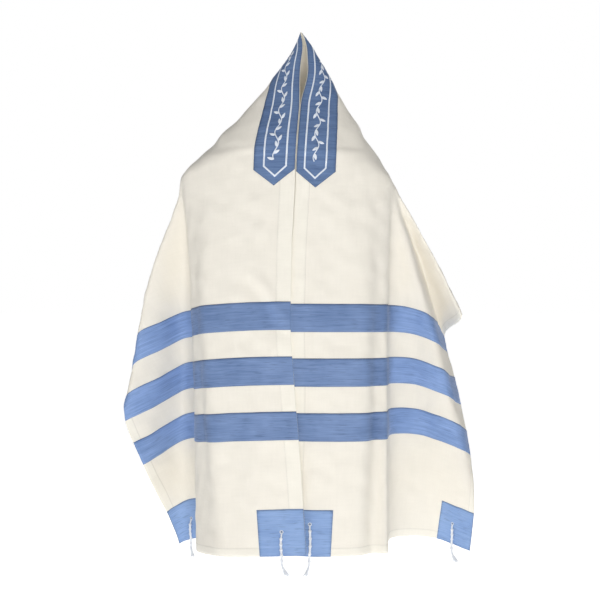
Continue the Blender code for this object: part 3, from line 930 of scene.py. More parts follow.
    def at(self, along: Array, across: Array, lift: Union[float, Array] = 0.0) -> Array:
        """Places on the cut-up cloth, lifted off its middle surface.

        A point is worked out inside its own triangle, so that what is laid on the cloth neither
        sinks into a cell nor hovers over it. The lift follows the normals, mixed in the cell by
        the point's shares of the way across it.

        Args:
            along: distances along.
            across: distances across.
            lift: height off the middle surface.

        Returns:
            Points with a last axis of 3.
        """
        i = np.clip(np.searchsorted(self.along, along, side="right") - 1, 0, len(self.along) - 2)
        j = np.clip(np.searchsorted(self.across, across, side="right") - 1, 0, len(self.across) - 2)
        u = ((along - self.along[i]) / (self.along[i + 1] - self.along[i]))[..., None]
        v = ((across - self.across[j]) / (self.across[j + 1] - self.across[j]))[..., None]
        a, b = self.points[i, j], self.points[i + 1, j]
        c, d = self.points[i + 1, j + 1], self.points[i, j + 1]
        rising = np.where(u >= v, a + u * (b - a) + v * (c - b), a + u * (c - d) + v * (d - a))
        low = a + u * (b - a) + v * (d - a)
        high = c + (1 - u) * (d - c) + (1 - v) * (b - c)
        spot = np.where(self.rising[i, j][..., None], rising, np.where(u + v <= 1, low, high))
        n = self.normals
        normal = (n[i, j] * (1 - u) + n[i + 1, j] * u) * (1 - v)
        normal = normal + (n[i, j + 1] * (1 - u) + n[i + 1, j + 1] * u) * v
        return spot + normal * np.asarray(lift)[..., None]


# ---------------------------------------------------------------- finishes


class Link:
    """One output socket of a node, which adds Math nodes when it is used in an expression."""

    def __init__(self, bench: "Bench", socket: bpy.types.NodeSocket) -> None:
        """Wrap a socket of a bench's material."""
        self.bench = bench
        self.socket = socket

    def maths(self, operation: str, *others: "Term", clamp: bool = False) -> "Link":
        """A Math node over this value and others.

        Args:
            operation: the Math node's operation.
            *others: its other inputs.
            clamp: keep the result between 0 and 1.

        Returns:
            The result.
        """
        settings = {"operation": operation, "use_clamp": clamp}
        values = dict(enumerate((self, *others)))
        return self.bench.node("ShaderNodeMath", settings, values)

    def __add__(self, other: "Term") -> "Link":
        """This plus other."""
        return self.maths("ADD", other)

    __radd__ = __add__

    def __sub__(self, other: "Term") -> "Link":
        """This minus other."""
        return self.maths("SUBTRACT", other)

    def __rsub__(self, other: "Term") -> "Link":
        """Other minus this: this times -1, plus other."""
        return self.maths("MULTIPLY_ADD", -1.0, other)

    def __mul__(self, other: "Term") -> "Link":
        """This times other."""
        return self.maths("MULTIPLY", other)

    __rmul__ = __mul__

    def __truediv__(self, other: "Term") -> "Link":
        """This over other."""
        return self.maths("DIVIDE", other)

    def __rtruediv__(self, other: "Term") -> "Link":
        """Other over this: this to the power of -1, times other."""
        return self.maths("POWER", -1.0) * other

    def __abs__(self) -> "Link":
        """This without its sign."""
        return self.maths("ABSOLUTE")

    def sine(self) -> "Link":
        """The sine of this, in radians."""
        return self.maths("SINE")

    def most(self, other: "Term") -> "Link":
        """The larger of this and other."""
        return self.maths("MAXIMUM", other)

    def kept(self) -> "Link":
        """This, kept between 0 and 1."""
        return self.maths("ADD", 0.0, clamp=True)

    def below(self, edge: float, soft: float) -> "Link":
        """1 where this is under an edge and 0 over it, with a straight step that wide between."""
        return ((edge - self) / soft + 0.5).kept()

    def line(self, centre: float, width: float) -> "Link":
        """1 on a line at a centre, falling straight to 0 at a width from it."""
        return (1.0 - abs(self - centre) / width).kept()


Term = Union[Link, float, int, tuple]


class Bench:
    """A material's node tree, and the one method that adds any node to it."""

    def __init__(self, name: str) -> None:
        """Start a material with its shader.

        Args:
            name: the material's name.
        """
        self.material = bpy.data.materials.new(name)
        self.material.use_nodes = True
        self.tree = self.material.node_tree
        self.shader = self.tree.nodes["Principled BSDF"]

    @staticmethod
    def find(sockets: Any, key: Union[str, int]) -> bpy.types.NodeSocket:
        """A socket by its place, its identifier or its name.

        Args:
            sockets: a node's inputs or outputs.
            key: the place, identifier or name.

        Returns:
            The socket.
        """
        if isinstance(key, int):
            return sockets[key]
        by_identifier = {socket.identifier: socket for socket in sockets}
        return by_identifier.get(key) or sockets[key]

    def node(
        self,
        kind: str,
        settings: dict[str, Any],
        values: dict[Union[str, int], Term],
        result: Union[str, int] = 0,
    ) -> Link:
        """Add a node.

        Args:
            kind: the node's type.
            settings: its own settings, set first.
            values: the numbers, colours or links of its input sockets.
            result: which output socket is wanted.

        Returns:
            That output.
        """
        node = self.tree.nodes.new(kind)
        for key, value in settings.items():
            setattr(node, key, value)
        for key, value in values.items():
            self.plug(self.find(node.inputs, key), value)
        return Link(self, self.find(node.outputs, result))

    def plug(self, socket: bpy.types.NodeSocket, value: Term) -> None:
        """Link a value to a socket, or set it there; a colour gets its fourth number."""
        if isinstance(value, Link):
            self.tree.links.new(value.socket, socket)
        elif isinstance(value, tuple) and socket.type == "RGBA":
            socket.default_value = (*value, 1.0)
        else:
            socket.default_value = value

    def flat(self) -> tuple[Link, Link]:
        """The distances along and across of the flat cloth, read from the piece's own UV map."""
        place = self.node("ShaderNodeUVMap", {"uv_map": "cut"}, {})
        parts = {"Vector": place}
        u = self.node("ShaderNodeSeparateXYZ", {}, parts, "X")
        v = self.node("ShaderNodeSeparateXYZ", {}, parts, "Y")
        return u * 2.0 - 1.0, v

    def own(self, name: str) -> Link:
        """A number kept at each point of the piece."""
        return self.node("ShaderNodeAttribute", {"attribute_name": name}, {}, "Fac")

    def vector(self, x: Term, y: Term, z: Term = 0.0) -> Link:
        """A vector of three numbers."""
        return self.node("ShaderNodeCombineXYZ", {}, {"X": x, "Y": y, "Z": z})

    def noise(self, place: Link, scale: float, detail: float = 3.0, rough: float = 0.5) -> Link:
        """Cloudy noise from 0 to 1.

        Args:
            place: where it is read.
            scale: how many clouds there are to a unit of place.
            detail: how many finer layers are added.
            rough: how strong each finer layer is.

        Returns:
            The noise.
        """
        values = {"Vector": place, "Scale": scale, "Detail": detail, "Roughness": rough}
        return self.node("ShaderNodeTexNoise", {}, values, "Fac")

    def place(self) -> Link:
        """The piece's own object coordinates, in metres."""
        return self.node("ShaderNodeTexCoord", {}, {}, "Object")

    def mix(self, share: Term, first: Term, second: Term) -> Link:
        """A colour between two colours."""
        values = {"Factor_Float": share, "A_Color": first, "B_Color": second}
        return self.node("ShaderNodeMix", {"data_type": "RGBA"}, values, "Result_Color")

    def tint(self, colour: Term, amount: Term) -> Link:
        """A colour times a number."""
        settings = {"operation": "SCALE"}
        return self.node("ShaderNodeVectorMath", settings, {"Vector": colour, "Scale": amount})

    def finish(
        self, colour: Link, roughness: Term, height: Link, depth: float, **fixed: float
    ) -> bpy.types.Material:
        """Feed the shader.

        Args:
            colour: the base colour.
            roughness: the roughness.
            height: the fine relief, about 0 to 1.
            depth: what 1 in height stands for, in metres.
            **fixed: sockets that are the same all over, with spaces as underscores.

        Returns:
            The finished material.
        """
        bump = {"Height": height, "Distance": depth, "Strength": 1.0}
        self.plug(self.shader.inputs["Base Color"], colour)
        self.plug(self.shader.inputs["Roughness"], roughness)
        self.plug(self.shader.inputs["Normal"], self.node("ShaderNodeBump", {}, bump))
        for key, value in fixed.items():
            self.shader.inputs[key.replace("_", " ")].default_value = value
        return self.material


@dataclass(frozen=True)
class Wool:
    """Cream wool in a plain weave, with turned and stitched hems.

    Attributes:
        light: the cloth where it is double, at the hems.
        cream: the single cloth.
        shade: its darker mottling.
        thread: the blue sewing thread that shows on the wrong side.
        yarn: distance from one yarn to the next.
        neck_hem: width of the turned edge along the neck.
        end_hem: width of the turned edge at the two ends and along the outer edge.
        soft: how wide the step at a hem's inner edge is.
        step: width of the shadow along it.
        stitch_inset: from a hem's inner edge to its stitches.
        stitch_width: half width of the row of stitches.
        stitching: turns of the stitches' sine wave, in radians to a metre.
        seam_inset: from a stripe's edge to the blue line on the wrong side.
        seam_width: half width of that line.
    """

    cut: Cut
    light: Colour = (0.925, 0.895, 0.805)
    cream: Colour = (0.900, 0.863, 0.782)
    shade: Colour = (0.880, 0.840, 0.755)
    thread: Colour = (0.30, 0.38, 0.56)
    yarn: float = 0.0011
    neck_hem: float = 0.026
    end_hem: float = 0.015
    soft: float = 0.0012
    step: float = 0.0016
    stitch_inset: float = 0.002
    stitch_width: float = 0.0006
    stitching: float = 2200.0
    seam_inset: float = 0.002
    seam_width: float = 0.0007

    def make(self) -> bpy.types.Material:
        """The material.

        The weave is the product of two sine waves, one for each set of yarns, stronger and
        weaker in slow clouds. A hem is lighter, with a shadow along its inner edge and a row of
        stitches, which are a sine wave along the seam. On the wrong side, two thin blue lines
        follow the edges of every stripe.
        """
        bench = Bench("wool_cloth")
        along, across = bench.flat()
        far = abs(along)
        wide = 2 * math.pi / self.yarn
        cloth_place = bench.vector(along, across)
        weave = (along * wide).sine() * (across * wide).sine() * 0.5 + 0.5
        slub = bench.noise(bench.vector(along * 260.0, across * 30.0), 1.0)
        slub = slub + bench.noise(bench.vector(along * 30.0, across * 260.0), 1.0)
        fuzz = bench.noise(cloth_place, 700.0, 4.0, 0.6)
        cloud = bench.noise(cloth_place, 9.0, 4.0, 0.55)

        from_end, from_outer = self.cut.half_length - far, self.cut.width - across
        hem = across.below(self.neck_hem, self.soft)
        hem = hem.most(from_end.below(self.end_hem, self.soft))
        hem = hem.most(from_outer.below(self.end_hem, self.soft))
        step = across.line(self.neck_hem, self.step).most(from_end.line(self.end_hem, self.step))
        step = step.most(from_outer.line(self.end_hem, self.step))
        stitch = across.line(self.neck_hem - self.stitch_inset, self.stitch_width)
        stitch = stitch * (along * self.stitching).sine().most(0.0)
        dash = (across * self.stitching).sine().most(0.0)
        at_end = from_end.line(self.end_hem - self.stitch_inset, self.stitch_width)
        stitch = stitch.most(at_end * dash)

        inside = bench.own("side").below(0.4, 0.1)
        seams = None
        for number in range(1, self.cut.stripe_count + 1):
            start, end = self.cut.stripe(number)
            pair = far.line(start + self.seam_inset, self.seam_width)
            pair = pair.most(far.line(end - self.seam_inset, self.seam_width))
            seams = pair if seams is None else seams.most(pair)

        colour = bench.mix(((cloud - 0.35) * 1.6).kept(), self.shade, self.cream)
        colour = bench.mix(hem * 0.6, colour, self.light)
        colour = bench.mix(seams * inside * 0.8, colour, self.thread)
        tone = (slub - 1.0) * 0.05 + (weave - 0.5) * 0.05 - step * 0.10 - stitch * 0.12 + 1.0
        height = weave * 0.35 + fuzz * 0.35 + slub * 0.35 + hem * 0.9 - stitch * 0.8
        roughness = 0.82 + fuzz * 0.12
        return bench.finish(
            bench.tint(colour, tone), roughness, height, 0.00035,
            Specular_IOR_Level=0.18, Sheen_Weight=0.10, Sheen_Roughness=0.5,
        )


@dataclass(frozen=True)
class SlubSilk:
    """Silk with uneven weft yarns, which run across the cloth as streaks and short thick slubs.

    Attributes:
        name: the material's name.
        dark: the colour of the thin and sunken yarns.
        light: the colour of the yarns that catch the light.
        slub: how much the thick places show.
        seam: width of the turned edge.
        painted_wing_sheen: painted sheen, how much lighter the silk is made on the wing, as if it
            caught more light there.
        wing_start: distance across at which the wing, and its painted sheen, begins.
    """

    name: str
    dark: Colour
    light: Colour
    slub: float = 0.5
    seam: float = 0.0045
    painted_wing_sheen: float = 0.0
    wing_start: float = 0.25

    def make(self) -> bpy.types.Material:
        """The material.

        Two noises are stretched 40 to 60 times across: fine yarns a millimetre thick, and slubs
        of which only the highest fifth shows. The piece's own from_edge number darkens the
        turned edge a little and paints a shadow line along its last millimetre, and a sine wave
        over the place along it makes the stitches. Beyond the start of the wing the colour is
        times 1 plus the painted wing sheen, a painted highlight as if the silk caught more light
        there.
        """
        bench = Bench(self.name)
        along, across = bench.flat()
        edge = bench.own("from_edge")
        yarn = bench.noise(bench.vector(along * 900.0, across * 16.0), 1.0, 4.0, 0.6)
        streak = bench.noise(bench.vector(along * 210.0, across * 9.0, 3.0), 1.0, 3.0)
        thick = bench.noise(bench.vector(along * 420.0, across * 38.0, 7.0), 1.0, 2.0)
        thick = ((thick - 0.56) * 7.0).kept()
        cloud = bench.noise(bench.vector(along, across), 14.0, 3.0)
        warp = (across * (2 * math.pi / 0.0009)).sine() * 0.5 + 0.5

        turned = edge.below(self.seam, 0.0008)
        # painted shadow: rim darkens the silk along the last millimetre of the patch's edge
        rim = edge.below(0.0012, 0.0010)
        stitch = edge.line(self.seam * 0.55, 0.0006) * ((along + across) * 2300.0).sine().most(0.0)
        share = ((yarn - 0.5) * 1.6 + (streak - 0.5) * 0.8 + (cloud - 0.5) * 0.9 + 0.5).kept()
        colour = bench.mix(share, self.dark, self.light)
        # painted sheen: the silk on the wing is made lighter, as if it caught more light
        wing = 1.0 - across.below(self.wing_start, 0.03)
        tone = 1.0 + wing * self.painted_wing_sheen - rim * 0.26 - turned * 0.03 - stitch * 0.18
        tone = tone - thick * (0.42 * self.slub)
        height = yarn * 0.7 + thick * self.slub + warp * 0.15 + turned * 0.8 - stitch * 0.7
        roughness = 0.40 + yarn * 0.16 + thick * 0.10
        return bench.finish(
            bench.tint(colour, tone), roughness, height, 0.00030,
            Specular_IOR_Level=0.18, Sheen_Weight=0.10, Sheen_Roughness=0.35,
        )


@dataclass(frozen=True)
class Thread:
    """White twisted thread or cord, with the shadows between its plies.

    Attributes:
        name: the material's name.
        colour: the thread.
        shade: the thread in its hollows.
        grain: how many fibres there are to a metre.
        roughness: 0.3 for satin stitch, 0.8 for wool.
        sheen: strength of the soft glow at grazing angles.
    """

    name: str
    colour: Colour
    shade: Colour
    grain: float = 1500.0
    roughness: float = 0.8
    sheen: float = 0.2

    def make(self) -> bpy.types.Material:
        """The material: fibres from fine noise, and slow clouds between the two colours."""
        bench = Bench(self.name)
        place = bench.place()
        fibre = bench.noise(place, self.grain, 3.0, 0.6)
        cloud = bench.noise(place, 120.0, 2.0)
        share = ((fibre - 0.5) * 0.9 + (cloud - 0.5) * 0.8 + 0.68).kept()
        colour = bench.mix(share, self.shade, self.colour)
        return bench.finish(
            colour, self.roughness + (fibre - 0.5) * 0.2, fibre, 0.00012,
            Specular_IOR_Level=0.35, Sheen_Weight=self.sheen, Sheen_Roughness=0.4,
        )


@dataclass(frozen=True)
class Plain:
    """A matt painted surface for the floor, a little uneven.

    Attributes:
        name: the material's name.
        colour: the paint.
        glow: strength of its own white light, which makes up for what the lamps don't reach.
    """

    name: str
    colour: Colour
    glow: float = 0.0

    def make(self) -> bpy.types.Material:
        """The material: one colour with two hundredths of slow clouds, matt, and an even glow."""
        bench = Bench(self.name)
        cloud = bench.noise(bench.place(), 1.5, 2.0)
        colour = bench.tint(self.colour, 0.99 + cloud * 0.02)
        glow = {"Specular_IOR_Level": 0.1, "Emission_Strength": self.glow}
        return bench.finish(colour, 0.9, cloud, 0.0002, **glow)


# ---------------------------------------------------------------- the shawl's pieces


@dataclass
class ShawlCloth:
    """The one large rectangle of wool.

    Attributes:
        grid: the draped cloth.
        finish: the wool.
        thick: how thick the cloth is.
    """

    grid: ClothGrid
    finish: Wool
    thick: float = 0.0014

    def build(self) -> bpy.types.Object:
        """The whole grid as one closed wall, half its thickness to each side of the middle."""
        keep = np.ones(len(self.grid.triangles), bool)
        wall = self.grid.shell(keep, -self.thick / 2, self.thick / 2)
        piece = wall.to_object("wool_shawl", self.finish.make())
        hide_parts("shawl_cloth")
        return piece


@dataclass
class SewnPatch:
    """A flat piece of silk sewn on the cloth, which shares its folds.

    Attributes:
        grid: the draped cloth.
        low: height of the silk's underside off the cloth's middle surface.
        high: height of its upper side.
    """

    grid: ClothGrid
    low: float = 0.00075
    high: float = 0.00135

    def sew(
        self, name: str, node: str, slot: str, keep: Array,
        from_edge: Callable[[Array, Array], Array], material: bpy.types.Material,
    ) -> bpy.types.Object:
        """Cut the patch out of the grid and put it in the scene.

        Args:
            name: the piece's name.
            node: the CAD node that it stands for.
            slot: its material slot; not used.
            keep: True for each triangle of the grid that belongs to it.
            from_edge: a function of the distances along and across that gives the distance to
                the patch's nearest edge.
            material: its finish.

        Returns:
            The piece.
        """
        wall = self.grid.shell(keep, self.low, self.high)
        wall.own["from_edge"] = from_edge(wall.cut[:, 0], wall.cut[:, 1])
        piece = wall.to_object(name, material)
        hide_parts(node)
        return piece


@dataclass
class Stripe(SewnPatch):
    """One of the blue stripes, which run from the neck edge to the outer edge."""

    side: Side = Side.LEFT
    number: int = 1

    def build(self, material: bpy.types.Material) -> bpy.types.Object:
        """The part of the grid between the stripe's two distances along."""
        start, end = self.grid.cut.stripe(self.number)
        along, _ = self.grid.middles()
        far = along * self.side.value
        return self.sew(
            f"silk_stripe_{self.side.name.lower()}_{self.number}",
            f"stripe_{self.side.name.lower()}_{self.number}",
            "stripe_fabric",
            (far > start) & (far < end),
            lambda along, across: np.minimum(abs(along) - start, end - abs(along)),
            material,
        )


@dataclass
class CornerSquare(SewnPatch):
    """The square that strengthens a corner round its eyelet."""

    side: Side = Side.LEFT
    end: End = End.FRONT

    def aside(self, across: Array) -> Array:
        """The distance from the long edge that the square lies at."""
        return across if self.end is End.FRONT else self.grid.cut.width - across

    def from_edge(self, along: Array, across: Array) -> Array:
        """The smallest of the distances to the square's four sides."""
        cut = self.grid.cut
        down = cut.half_length - abs(along)
        over = self.aside(across)
        return np.minimum(np.minimum(down, cut.corner - down), np.minimum(over, cut.corner - over))

    def build(self, material: bpy.types.Material) -> bpy.types.Object:
        """The part of the grid within a corner's size of both edges."""
        cut = self.grid.cut
        along, across = self.grid.middles()
        far = along * self.side.value
        keep = (far > cut.half_length - cut.corner) & (self.aside(across) < cut.corner)
        key = f"{self.side.name.lower()}_{self.end.value}"
        return self.sew(
            f"silk_corner_{key}", f"corner_{key}", "corner_fabric", keep, self.from_edge, material
        )


@dataclass
class Neckband(SewnPatch):
    """The band along the neck edge, with a satin border line and a leafy vine in white thread.

    Attributes:
        line_width: width of the border line.
        line_inner: distance across of its side at the neck edge.
        line_outer: distance across of its other side.
        line_corner: distance along at which both sides end.
        line_tip: distance along of its points.
        line_height: how far satin stitch stands off the band.
        vine_half_length: from the centre line to either end of the vine.
        vine_sway: how far the stem swings to each side.
        vine_repeat: length of one swing.
        stem_width: width of the stem.
        leaf_length: length of a leaf.
        leaf_width: its greatest width.
        leaf_height: how far it stands off the band.
        leaf_pitch: from one leaf to the next.
        sunk: how deep embroidery lies in the band.
    """

    high: float = 0.0016
    line_width: float = 0.0031
    line_inner: float = 0.0158
    line_outer: float = 0.0547
    line_corner: float = 0.2840
    line_tip: float = 0.3025
    line_height: float = 0.0004
    vine_half_length: float = 0.272
    vine_sway: float = 0.0045
    vine_repeat: float = 0.046
    stem_width: float = 0.0019
    leaf_length: float = 0.0130
    leaf_width: float = 0.0058
    leaf_height: float = 0.0005
    leaf_pitch: float = 0.0115
    sunk: float = 0.0002

    @property
    def line_middle(self) -> float:
        """The distance across of the vine and of the border's points."""
        return (self.line_inner + self.line_outer) / 2

    def from_edge(self, along: Array, across: Array) -> Array:
        """The smaller of the distances to the band's long edges and to its sloping ends."""
        cut = self.grid.cut
        aside = abs(across - cut.band_middle)
        slope = cut.band_point / (cut.band_width / 2)
        to_end = (cut.band_half_length - slope * aside - abs(along)) / math.hypot(1.0, slope)
        return np.minimum(cut.band_width / 2 - aside, to_end)

    def build(
        self, silk: bpy.types.Material, thread: bpy.types.Material
    ) -> list[bpy.types.Object]:
        """Sew the band and embroider it.

        Args:
            silk: the band's finish.
            thread: the white thread.

        Returns:
            The band, its border line and its vine.
        """
        along, across = self.grid.middles()
        band = self.sew(
            "silk_neckband", "neckband", "neckband_fabric",
            self.from_edge(along, across) > 0, self.from_edge, silk,
        )
        pieces = [band]
        for name, surface in (("satin_border", self.border()), ("satin_vine", self.vine())):
            piece = surface.to_object(name, thread)
            pieces.append(piece)
        return pieces

    def ribbon(self, centre: Array, sideways: Array, width: float, closed: bool) -> Surface:
        """A line of satin stitch on the band: a low dome carried along a flat path.

        Over the width the dome is the root of 1 minus the square of the share of the way out.
        Its underside lies in the band.

        Args:
            centre: distances along and across of the path, two columns.
            sideways: the flat direction across the line, for a half width of 1.
            width: the line's width.
            closed: the path's last point joins its first.

        Returns:
            The line, closed all round.
        """
        share = np.array([-1.0, -0.8, -0.4, 0.0, 0.4, 0.8, 1.0])
        dome = self.high + self.line_height * np.sqrt(1 - share**2)
        spots = np.concatenate((share, share[-2:0:-1]))
        lifts = np.concatenate((dome, np.full(len(share) - 2, self.high - self.sunk)))
        flat = centre[:, None] + sideways[:, None] * spots[None, :, None] * width / 2
        lift = np.broadcast_to(lifts, flat.shape[:2])
        points = self.grid.at(flat[..., 0], flat[..., 1], lift)
        surface = Surface.from_grid(points, flat, close_rows=closed, close_columns=True)
        if not closed:
            last = (len(centre) - 1) * len(spots)
            near = np.arange(1, len(spots) - 1)
            fan = np.stack((np.zeros_like(near), near + 1, near), -1)
            surface.faces = np.concatenate((surface.faces, fan[:, ::-1], last + fan))
        return surface

    def border(self) -> Surface:
        """The satin line round the band, pointed like it at both ends.

        Its path is a six-cornered loop on the flat cloth. At a corner the sideways direction is
        the sum of the two sides' square directions, over 1 plus the cosine between them.
        """
        inner, outer, middle = self.line_inner, self.line_outer, self.line_middle
        corners = np.array([
            (-self.line_corner, inner), (self.line_corner, inner), (self.line_tip, middle),
            (self.line_corner, outer), (-self.line_corner, outer), (-self.line_tip, middle),
        ])
        sides = np.roll(corners, -1, axis=0) - corners
        lengths = np.linalg.norm(sides, axis=1)
        square = np.stack((-sides[:, 1], sides[:, 0]), -1) / lengths[:, None]
        before = np.roll(square, 1, axis=0)
        mitre = (before + square) / (1 + (before * square).sum(axis=1))[:, None]
        centre, sideways = [], []
        for n, length in enumerate(lengths):
            share = np.linspace(0, 1, max(4, round(length / 0.0022)), endpoint=False)[:, None]
            centre.append(corners[n] + share * sides[n])
            sideways.append(np.where(share == 0, mitre[n], square[n]))
        return self.ribbon(np.concatenate(centre), np.concatenate(sideways), self.line_width, True)

    def stem(self, along: Array) -> tuple[Array, Array]:
        """The vine's distance across, and its slope: a sine wave about the middle."""
        turn = 2 * math.pi * along / self.vine_repeat
        slope = self.vine_sway * 2 * math.pi / self.vine_repeat * np.cos(turn)
        return self.line_middle + self.vine_sway * np.sin(turn), slope

    def vine(self) -> Surface:
        """A waving stem, and a leaf on each side of it in turn.

        A leaf is a dome over an ellipse that narrows towards both ends: its half width is the
        sine of the share of its length, and its height falls with the square of the share of
        the way out. A groove marks its rib.
        """
        along = np.linspace(-self.vine_half_length, self.vine_half_length, 420)
        across, slope = self.stem(along)
        way = np.stack((-slope, np.ones_like(slope)), -1) / np.hypot(1.0, slope)[:, None]
        stem = self.ribbon(np.stack((along, across), -1), way, self.stem_width, False)

        reach = self.vine_half_length
        roots = np.arange(-reach, reach - 0.004, self.leaf_pitch)
        sides = np.where(np.arange(len(roots)) % 2 == 0, 1.0, -1.0)
        root_across, root_slope = self.stem(roots)
        heading = np.arctan(root_slope) + sides * math.radians(42)
        share = np.linspace(0.0, 1.0, 11)[:, None]
        out = np.linspace(-1.0, 1.0, 7)[None, :]
        long = (self.leaf_length * share + 0 * out)[None]
        wide = (self.leaf_width / 2 * np.sin(math.pi * share**0.85) ** 0.8 * out)[None]
        turn = heading[:, None, None]
        flat_along = roots[:, None, None] + long * np.cos(turn) - wide * np.sin(turn)
        flat_across = root_across[:, None, None] + long * np.sin(turn) + wide * np.cos(turn)
        rib = 1 - 0.45 * np.exp(-((out / 0.22) ** 2))
        height = np.sin(math.pi * share**0.85) ** 0.5 * (1 - out**2) * rib
        lift = self.high - 0.00005 + self.leaf_height * (height + 0 * out)[None]
        top = self.grid.at(flat_along, flat_across, np.broadcast_to(lift, flat_along.shape))
        flat = np.stack((flat_along, flat_across), -1)
        low = np.full(flat_along.shape, self.high - self.sunk)
        base = self.grid.at(flat_along, flat_across, low)
        leaves = []
        for upper, lower, place in zip(top, base, flat):
            ring = np.concatenate((upper, lower[:, -2:0:-1]), axis=1)
            where = np.concatenate((place, place[:, -2:0:-1]), axis=1)
            leaves.append(Surface.from_grid(ring, where, close_columns=True))
        return Surface.join([stem] + leaves)


@dataclass
class Tassel:
    """A corner's tassel: an eyelet, a loop through it, a wound shank, and loose strands.

    Attributes:
        grid: the draped cloth.
        side: the half that it hangs on.
        end: the corner.
        along: the eyelet's distance from the centre line.
        across: its distance across.
        swing: how far the strands' ends swing to the right.
        ground: height of the corner square's upper side off the cloth's middle surface.
        radius: the shank's radius.
        knots: how many knots it has.
        knot_length: half length of a knot.
        winding: from one turn of the winding to the next.
        loop_length: from the eyelet to the top of the shank.
        below_hem: how far the shank hangs below the hem.
        strand_length: length of the longest strand.
        strand_radius: radius of a strand.
        strand_twist: from one turn of its twist to the next.
        strands: how many there are.
        spread: how much wider apart their ends are than their starts.
        bow: how far the shank bows aside.
        eyelet_radius: radius of the eyelet's hole.
        eyelet_thread: radius of the thread round it.
        loop_radius: radius of the loop's cord.
        loop_apart: half the distance between the loop's two cords.
    """

    grid: ClothGrid
    side: Side
    end: End
    along: float
    across: float
    swing: float
    ground: float = 0.00135
    radius: float = 0.0024
    knots: int = 5
    knot_length: float = 0.0019
    winding: float = 0.0017
    loop_length: float = 0.009
    below_hem: float = 0.012
    strand_length: float = 0.026
    strand_radius: float = 0.00082
    strand_twist: float = 0.0034
    strands: int = 8
    spread: float = 1.9
    bow: float = 0.0014
    eyelet_radius: float = 0.0027
    eyelet_thread: float = 0.00065
    loop_radius: float = 0.00085
    loop_apart: float = 0.00095

    @property
    def key(self) -> str:
        """The half and the corner, as in the CAD nodes' names."""
        return f"{self.side.name.lower()}_{self.end.value}"

    def shank_line(self) -> Array:
        """The middle of the shank.

        It starts a loop's length below the eyelet, lies on the square with its knots touching
        it, leans to the place on the hem that is straight below the eyelet, bows a little to one
        side by half a sine wave, and hangs free under the hem.
        """
        cut, sign = self.grid.cut, self.side.value
        root = self.grid.at(np.array([sign * self.along]), np.array([self.across]))[0]
        tries = self.across + np.linspace(-0.04, 0.04, 161)
        edge = self.grid.at(np.full(161, sign * cut.half_length), tries)
        straight = tries[np.argmin(np.abs(edge[:, 0] - root[0]))]
        fall = cut.half_length - self.along
        share = np.linspace(self.loop_length / fall, 1.0, 60)
        across = self.across + (straight - self.across) * share
        across = across + self.bow * np.sin(math.pi * share)
        lift = self.ground + self.radius * 1.30
        on_cloth = self.grid.at(sign * (self.along + fall * share), across, lift + 0 * share)
        drops = np.linspace(0.0, self.below_hem, 17)[1:, None]
        line = np.concatenate((on_cloth, on_cloth[-1] - drops * np.array([0.0, 0.0, 1.0])))
        run = np.concatenate(([0.0], np.cumsum(np.linalg.norm(np.diff(line, axis=0), axis=1))))
        even = np.linspace(0.0, run[-1], 150)
        smooth = np.stack([np.interp(even, run, line[:, axis]) for axis in range(3)], axis=-1)
        for _ in range(12):
            smooth[1:-1] = (smooth[:-2] + 2 * smooth[1:-1] + smooth[2:]) / 4
        return smooth

    def shank(self, line: Array) -> Surface:
        """The wound part.

        Its radius is 0.86 of the shank's, plus a bell at each knot that takes it to 1.28, times
        1 plus a tenth of a cosine over the run and the turn round it, which is the winding.
        """
        run = np.concatenate(([0.0], np.cumsum(np.linalg.norm(np.diff(line, axis=0), axis=1))))
        turn = np.linspace(0, 2 * math.pi, 20, endpoint=False)
        centres = np.linspace(0.003, run[-1] - 0.004, self.knots)
        knot = np.exp(-(((run[:, None] - centres) / self.knot_length) ** 2)).sum(axis=1)[:, None]
        wind = np.cos(2 * math.pi * run[:, None] / self.winding + turn)
        tie = np.cos(2 * math.pi * run[:, None] / (self.winding * 1.4) - 2 * turn)
        ends = np.clip(np.minimum(run, run[-1] - run) / 0.0012, 0.25, 1.0)[:, None] ** 0.5
        profile = (0.86 + 0.42 * knot) * (1 + 0.10 * (1 - knot) * wind + 0.09 * knot * tie)
        return Surface.tube(line, self.radius * profile * ends, self.flat)

    @property
    def flat(self) -> tuple[float, float]:
        """The eyelet's place on the flat cloth."""
        return self.side.value * self.along, self.across

    def loop(self, line: Array) -> list[Surface]:
        """Two cords that rise out of the eyelet and meet at the top of the shank."""
        cut, sign = self.grid.cut, self.side.value
        share = np.linspace(0.0, 1.0, 22)
        fall = self.loop_length / (cut.half_length - self.along)
        cords = []
        for aside in (-1.0, 1.0):
            along = sign * (self.along + self.loop_length * share)
            across = self.across + 0 * share + self.bow * np.sin(math.pi * fall * share)
            lift = (self.ground + self.radius * 1.30) * np.sin(share * math.pi / 2) ** 0.8
            middle = self.grid.at(along, across, lift - 0.0006 * (1 - share))
            middle = middle + (line[2] - middle[-1]) * share[:, None] ** 2
            middle[:, 0] += aside * self.loop_apart * (1 - 0.5 * share)
            turn = np.linspace(0, 2 * math.pi, 8, endpoint=False)
            twist = 1 + 0.16 * np.cos(2 * turn - 2 * math.pi * share[:, None] * 3)
            cords.append(Surface.tube(middle, self.loop_radius * twist, self.flat))
        return cords

